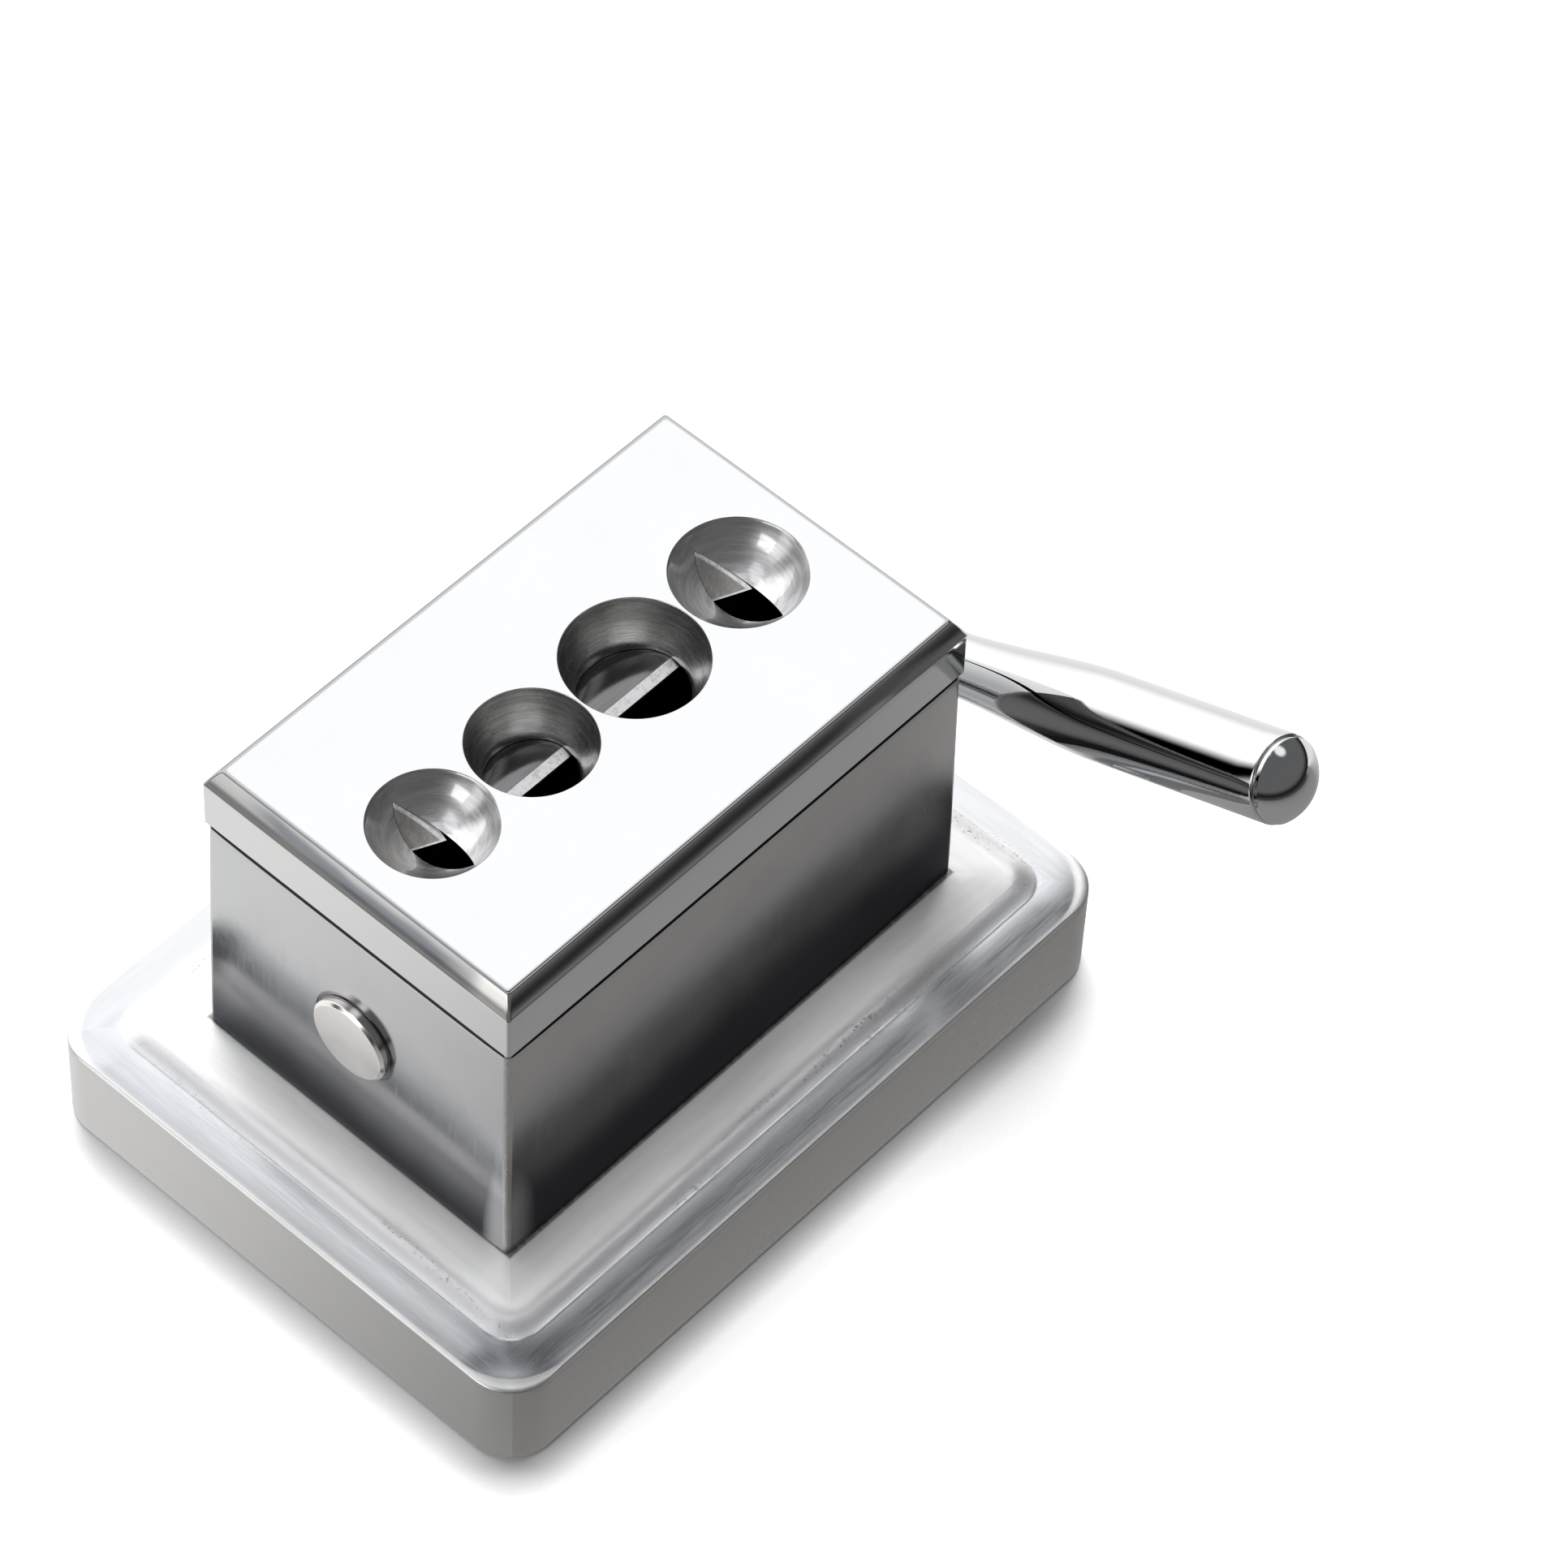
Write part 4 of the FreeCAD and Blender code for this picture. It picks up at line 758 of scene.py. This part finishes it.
def make_lever():
    metal = chrome()
    out = lever_matrix()
    neck, swell, grip = 6.35 * MM, 7.05 * MM, 9.95 * MM
    profile = [(neck, 10.0 * MM)]
    profile += [(neck + (swell - neck) * i / 8, (10 + 24 * i / 8) * MM) for i in range(1, 9)]
    for i in range(1, 25):
        share = i / 24
        ease = share * share * (3 - 2 * share)
        profile.append((swell + (grip - swell) * (0.25 * share + 0.75 * ease), (34 + 44 * share) * MM))
    profile += [(grip, (78 + 50.4 * i / 12) * MM) for i in range(1, 13)]
    profile += arc(grip - 0.5 * MM, 128.5 * MM, 0.5 * MM, 0, 90, 5)[1:]
    arm = lathe("lever_bar", profile, 160, out)
    settle(smooth(arm), "cutter", [metal], "lever_arm")

    profile = [(4.0 * MM, 128.9 * MM), (9.0 * MM, 128.9 * MM)]
    profile += arc(9.1 * MM, 129.3 * MM, 0.35 * MM, -90, 0, 4)
    collar_end, depth, rim = 130.2 * MM, 5.0 * MM, 9.45 * MM
    ball = (rim ** 2 + depth ** 2) / (2 * depth)
    middle = collar_end + depth - ball
    start = math.degrees(math.asin((collar_end - middle) / ball))
    profile += arc(0, middle, ball, start, 90, 20)[:-1]
    profile.append((0.0, collar_end + depth))
    cap = lathe("lever_end", profile, 160, out)
    settle(smooth(cap), "cutter", [metal], "lever_end_cap")


def make_pivot_cap():
    low, high = node_box("pivot_cap")
    radius = high.x
    bevel = 0.7 * MM
    out = Matrix.Translation((0, 0, SHAFT_Z)) @ Matrix.Rotation(math.radians(90), 4, "X")
    face, back = -low.y, -high.y
    profile = [(radius - 0.2 * MM, back), (radius, back + 0.2 * MM), (radius, face - bevel - 0.1 * MM)]
    profile += [(radius - 0.08 * MM, face - bevel + 0.06 * MM), (radius - bevel, face - 0.08 * MM),
                (radius - bevel - 0.2 * MM, face), (radius - bevel - 0.3 * MM, face), (0.0, face)]
    cap = lathe("pivot_button", profile, 128, out)
    metal = hand_polished("cap_aluminium", (0.92, 0.90, 0.88), 0.24, haze=0.02, wave=0.008,
                          grain=(1.0, 1.0, 0.1))
    settle(smooth(cap, 20), "cutter", [metal], "pivot_cap")


# The other pieces keep their CAD meshes -----------------------------------------------------------

def finish_cad_nodes():
    steel = ground("plain_steel", (0.45, 0.45, 0.46), 0.25, (1.0, 0.1, 1.0))
    straight = blade_metal()
    dark = ground("rocker_aluminium", (0.10, 0.10, 0.105), 0.40, (0.1, 1.0, 1.0))
    bronze = ground("bush_bronze", (0.60, 0.40, 0.19), 0.30, (1.0, 0.1, 1.0))
    black = black_oxide()
    rubber = soft_plastic("pad_rubber", (0.020, 0.020, 0.021), 0.75)
    finishes = {
        "base_pad": rubber, "stop_bumpers": rubber,
        "base_cover": ground("cover_aluminium", (0.55, 0.55, 0.55), 0.32, (0.05, 1.0, 1.0)),
        "cover_screws": steel, "blade_screws": steel, "base_dowels": steel, "lid_dowels": steel,
        "wave_washer": steel, "thrust_washer": steel, "stop_pins": steel, "shaft": steel,
        "hub_washer": soft_plastic("washer_nylon", (0.70, 0.69, 0.64), 0.5),
        "tie_bolts": black, "rocker_set_screws": black, "hub_set_screw": black,
        "front_bush": bronze, "rear_bush": bronze, "rocker": dark,
        "straight_blade_small": straight, "straight_blade_large": straight,
        "v_blade_small": v_blade_metal("v_blade_steel_small", DISHES[0][0]),
        "v_blade_large": v_blade_metal("v_blade_steel_large", DISHES[1][0]),
        "lever_hub": bpy.data.materials["lever_chrome"],
    }
    for node, material in finishes.items():
        obj = frame["nodes"][node]
        obj.data.materials.clear()
        obj.data.materials.append(material)


# Floor, light and camera --------------------------------------------------------------------------

def flat_sheet(name, size, height):
    bm = bmesh.new()
    bmesh.ops.create_grid(bm, x_segments=2, y_segments=2, size=size)
    bmesh.ops.translate(bm, verts=bm.verts, vec=(0, 0, height))
    sheet = mesh_object(name, bm)
    return sheet


def make_floor():
    """White paper for the camera, and a glowing card under it for the metal to reflect, with painted shade:
    dimmer towards +X and far off towards +X -Y.
    """
    paper = flat_sheet("floor_paper", 4.0, 0.0)
    n = Nodes("floor_paper")
    tint = n.mix(n.remap(n.noise(900.0, 3.0), 0.3, 0.7), (0.86, 0.86, 0.86), (0.88, 0.88, 0.88))
    paper.data.materials.append(n.finish(Base_Color=tint, Roughness=0.9, Specular_IOR_Level=0.0))
    paper.visible_glossy = False

    card = flat_sheet("floor_card", 4.0, -0.0002)
    n = Nodes("floor_card")
    # painted shade in the card's glow: dimmer towards +X, and far off towards +X -Y
    behind = n.times(n.math("MAXIMUM", n.math("SUBTRACT", n.y, 0.10), 0.0), 0.7)
    near = n.remap(n.math("SUBTRACT", n.x, behind), -0.10, 0.11, 1.05, 0.34)
    far = n.length(n.x, n.y)
    dim = n.times(n.remap(far, 0.22, 1.3, 0.0, 0.84),
                  n.remap(n.math("SUBTRACT", n.x, n.y), -0.3, 0.3))
    level = n.times(near, n.math("SUBTRACT", 1.0, dim))
    card.data.materials.append(n.finish(Base_Color=(0, 0, 0), Specular_IOR_Level=0.0,
                                        Emission_Color=(1.0, 0.995, 0.99), Emission_Strength=level))
    card.visible_camera = False
    card.visible_diffuse = False
    card.visible_shadow = False


def along(n, place, direction):
    """How far each direction of the sky points along the one given, from -1 to 1."""
    product = n.add("VectorMath")
    product.operation = "DOT_PRODUCT"
    n.tree.links.new(place.outputs["Generated"], product.inputs[0])
    product.inputs[1].default_value = Vector(direction).normalized()
    return product.outputs["Value"]


def half_sky(n, place, direction, soft):
    return n.remap(along(n, place, direction), -soft, soft)


def sky_disc(n, place, direction, degrees, soft):
    angle = n.times(n.math("ARCCOSINE", along(n, place, direction)), 180 / math.pi)
    return n.remap(angle, degrees - soft, degrees + soft, 1.0, 0.0)


def make_world():
    """Soft boxes round the table: each a patch of brightness in the sky, and plain pale paper behind."""
    world = bpy.data.worlds.new("studio")
    world.use_nodes = True
    n = Nodes.__new__(Nodes)
    n.tree = world.node_tree
    n.tree.nodes.clear()
    place = n.add("TexCoord")
    axes = n.add("SeparateXYZ")
    n.tree.links.new(place.outputs["Generated"], axes.inputs[0])
    x, y, z = axes.outputs
    turn = n.times(n.math("ARCTAN2", y, n.times(x, -1.0)), -180 / math.pi)
    height = n.times(n.math("ARCSINE", z), 180 / math.pi)

    # turn is 0 towards -X, 90 towards -Y (the front) and -90 towards +Y (the lever's end)
    patches = [
        (1.42, n.times(n.times(half_sky(n, place, (-0.825, 0.402, -0.398), 0.05),
                               n.window(turn, -75, 30, 8)), n.remap(height, -4, 14, 0.80, 1.0))),
        (1.15, n.times(n.window(turn, 52, 72, 5), n.window(height, -4, 42, 4))),
        (2.60, n.times(n.window(turn, 73, 100, 2), n.window(height, 19, 39, 2))),
        (1.10, n.times(n.window(turn, 15, 85, 8), n.window(height, 56, 74, 3))),
        (1.10, sky_disc(n, place, (0.17, 0.44, 0.88), 10.5, 4)),
        (1.30, sky_disc(n, place, (-0.08, 0.06, 0.99), 9, 4)),
    ]
    gap = n.times(n.window(turn, 36, 48, 3), n.window(height, -30, 33, 4))
    level = n.times(n.remap(height, 2, 14, 0.02, 0.15), n.math("SUBTRACT", 1.0, gap))
    for strength, patch in patches:
        level = n.math("ADD", level, n.times(patch, strength))
    studio = n.add("Background")
    n.feed(studio.inputs["Strength"], level)
    n.feed(studio.inputs["Color"], n.mix(n.remap(height, 10, 60), (1.0, 0.99, 0.98), (0.98, 0.988, 1.0)))
    paper = n.add("Background")
    n.feed(paper.inputs["Color"], (0.93, 0.93, 0.93))
    ray = n.add("LightPath")
    choose = n.add("MixShader")
    output = n.add("OutputWorld")
    n.tree.links.new(ray.outputs["Is Camera Ray"], choose.inputs[0])
    n.tree.links.new(studio.outputs[0], choose.inputs[1])
    n.tree.links.new(paper.outputs[0], choose.inputs[2])
    n.tree.links.new(choose.outputs[0], output.inputs[0])
    bpy.context.scene.world = world


def make_floor_light():
    """A big overhead bank for the paper. The metal reflects the sky patches instead."""
    light = bpy.data.lights.new("overhead_bank", "AREA")
    light.shape = "RECTANGLE"
    light.size, light.size_y = 1.0, 1.0
    light.energy = 42
    bank = bpy.data.objects.new("overhead_bank", light)
    bpy.context.scene.collection.objects.link(bank)
    bank.location = (-0.35, 0.35, 1.5)
    bank.rotation_mode = "QUATERNION"
    bank.rotation_quaternion = bank.location.to_track_quat("Z", "Y")
    bank.visible_glossy = False
    bank.visible_camera = False


def make_camera():
    """The photograph's view: from the front right, well above, through a long lens, rolled a little."""
    azimuth, elevation, roll = math.radians(39.66), math.radians(52.30), math.radians(3.42)
    target = Vector((15.9, 45.9, 60.0)) * MM
    back = Vector((math.sin(azimuth) * math.cos(elevation), -math.cos(azimuth) * math.cos(elevation),
                   math.sin(elevation)))
    data = bpy.data.cameras.new("camera")
    data.lens = 154.75
    data.sensor_width = 36.0
    data.clip_start, data.clip_end = 0.05, 20.0
    camera = bpy.data.objects.new("camera", data)
    bpy.context.scene.collection.objects.link(camera)
    camera.location = target + back * 1.4672
    camera.rotation_mode = "QUATERNION"
    level = (-back).to_track_quat("-Z", "Y").to_matrix()
    camera.rotation_quaternion = (level @ Matrix.Rotation(roll, 3, "Z")).to_quaternion()
    bpy.context.scene.camera = camera
    bpy.context.scene.view_settings.view_transform = "Standard"


make_base()
make_housing()
make_lid()
make_lever()
make_pivot_cap()
finish_cad_nodes()
make_floor()
make_world()
make_floor_light()
make_camera()
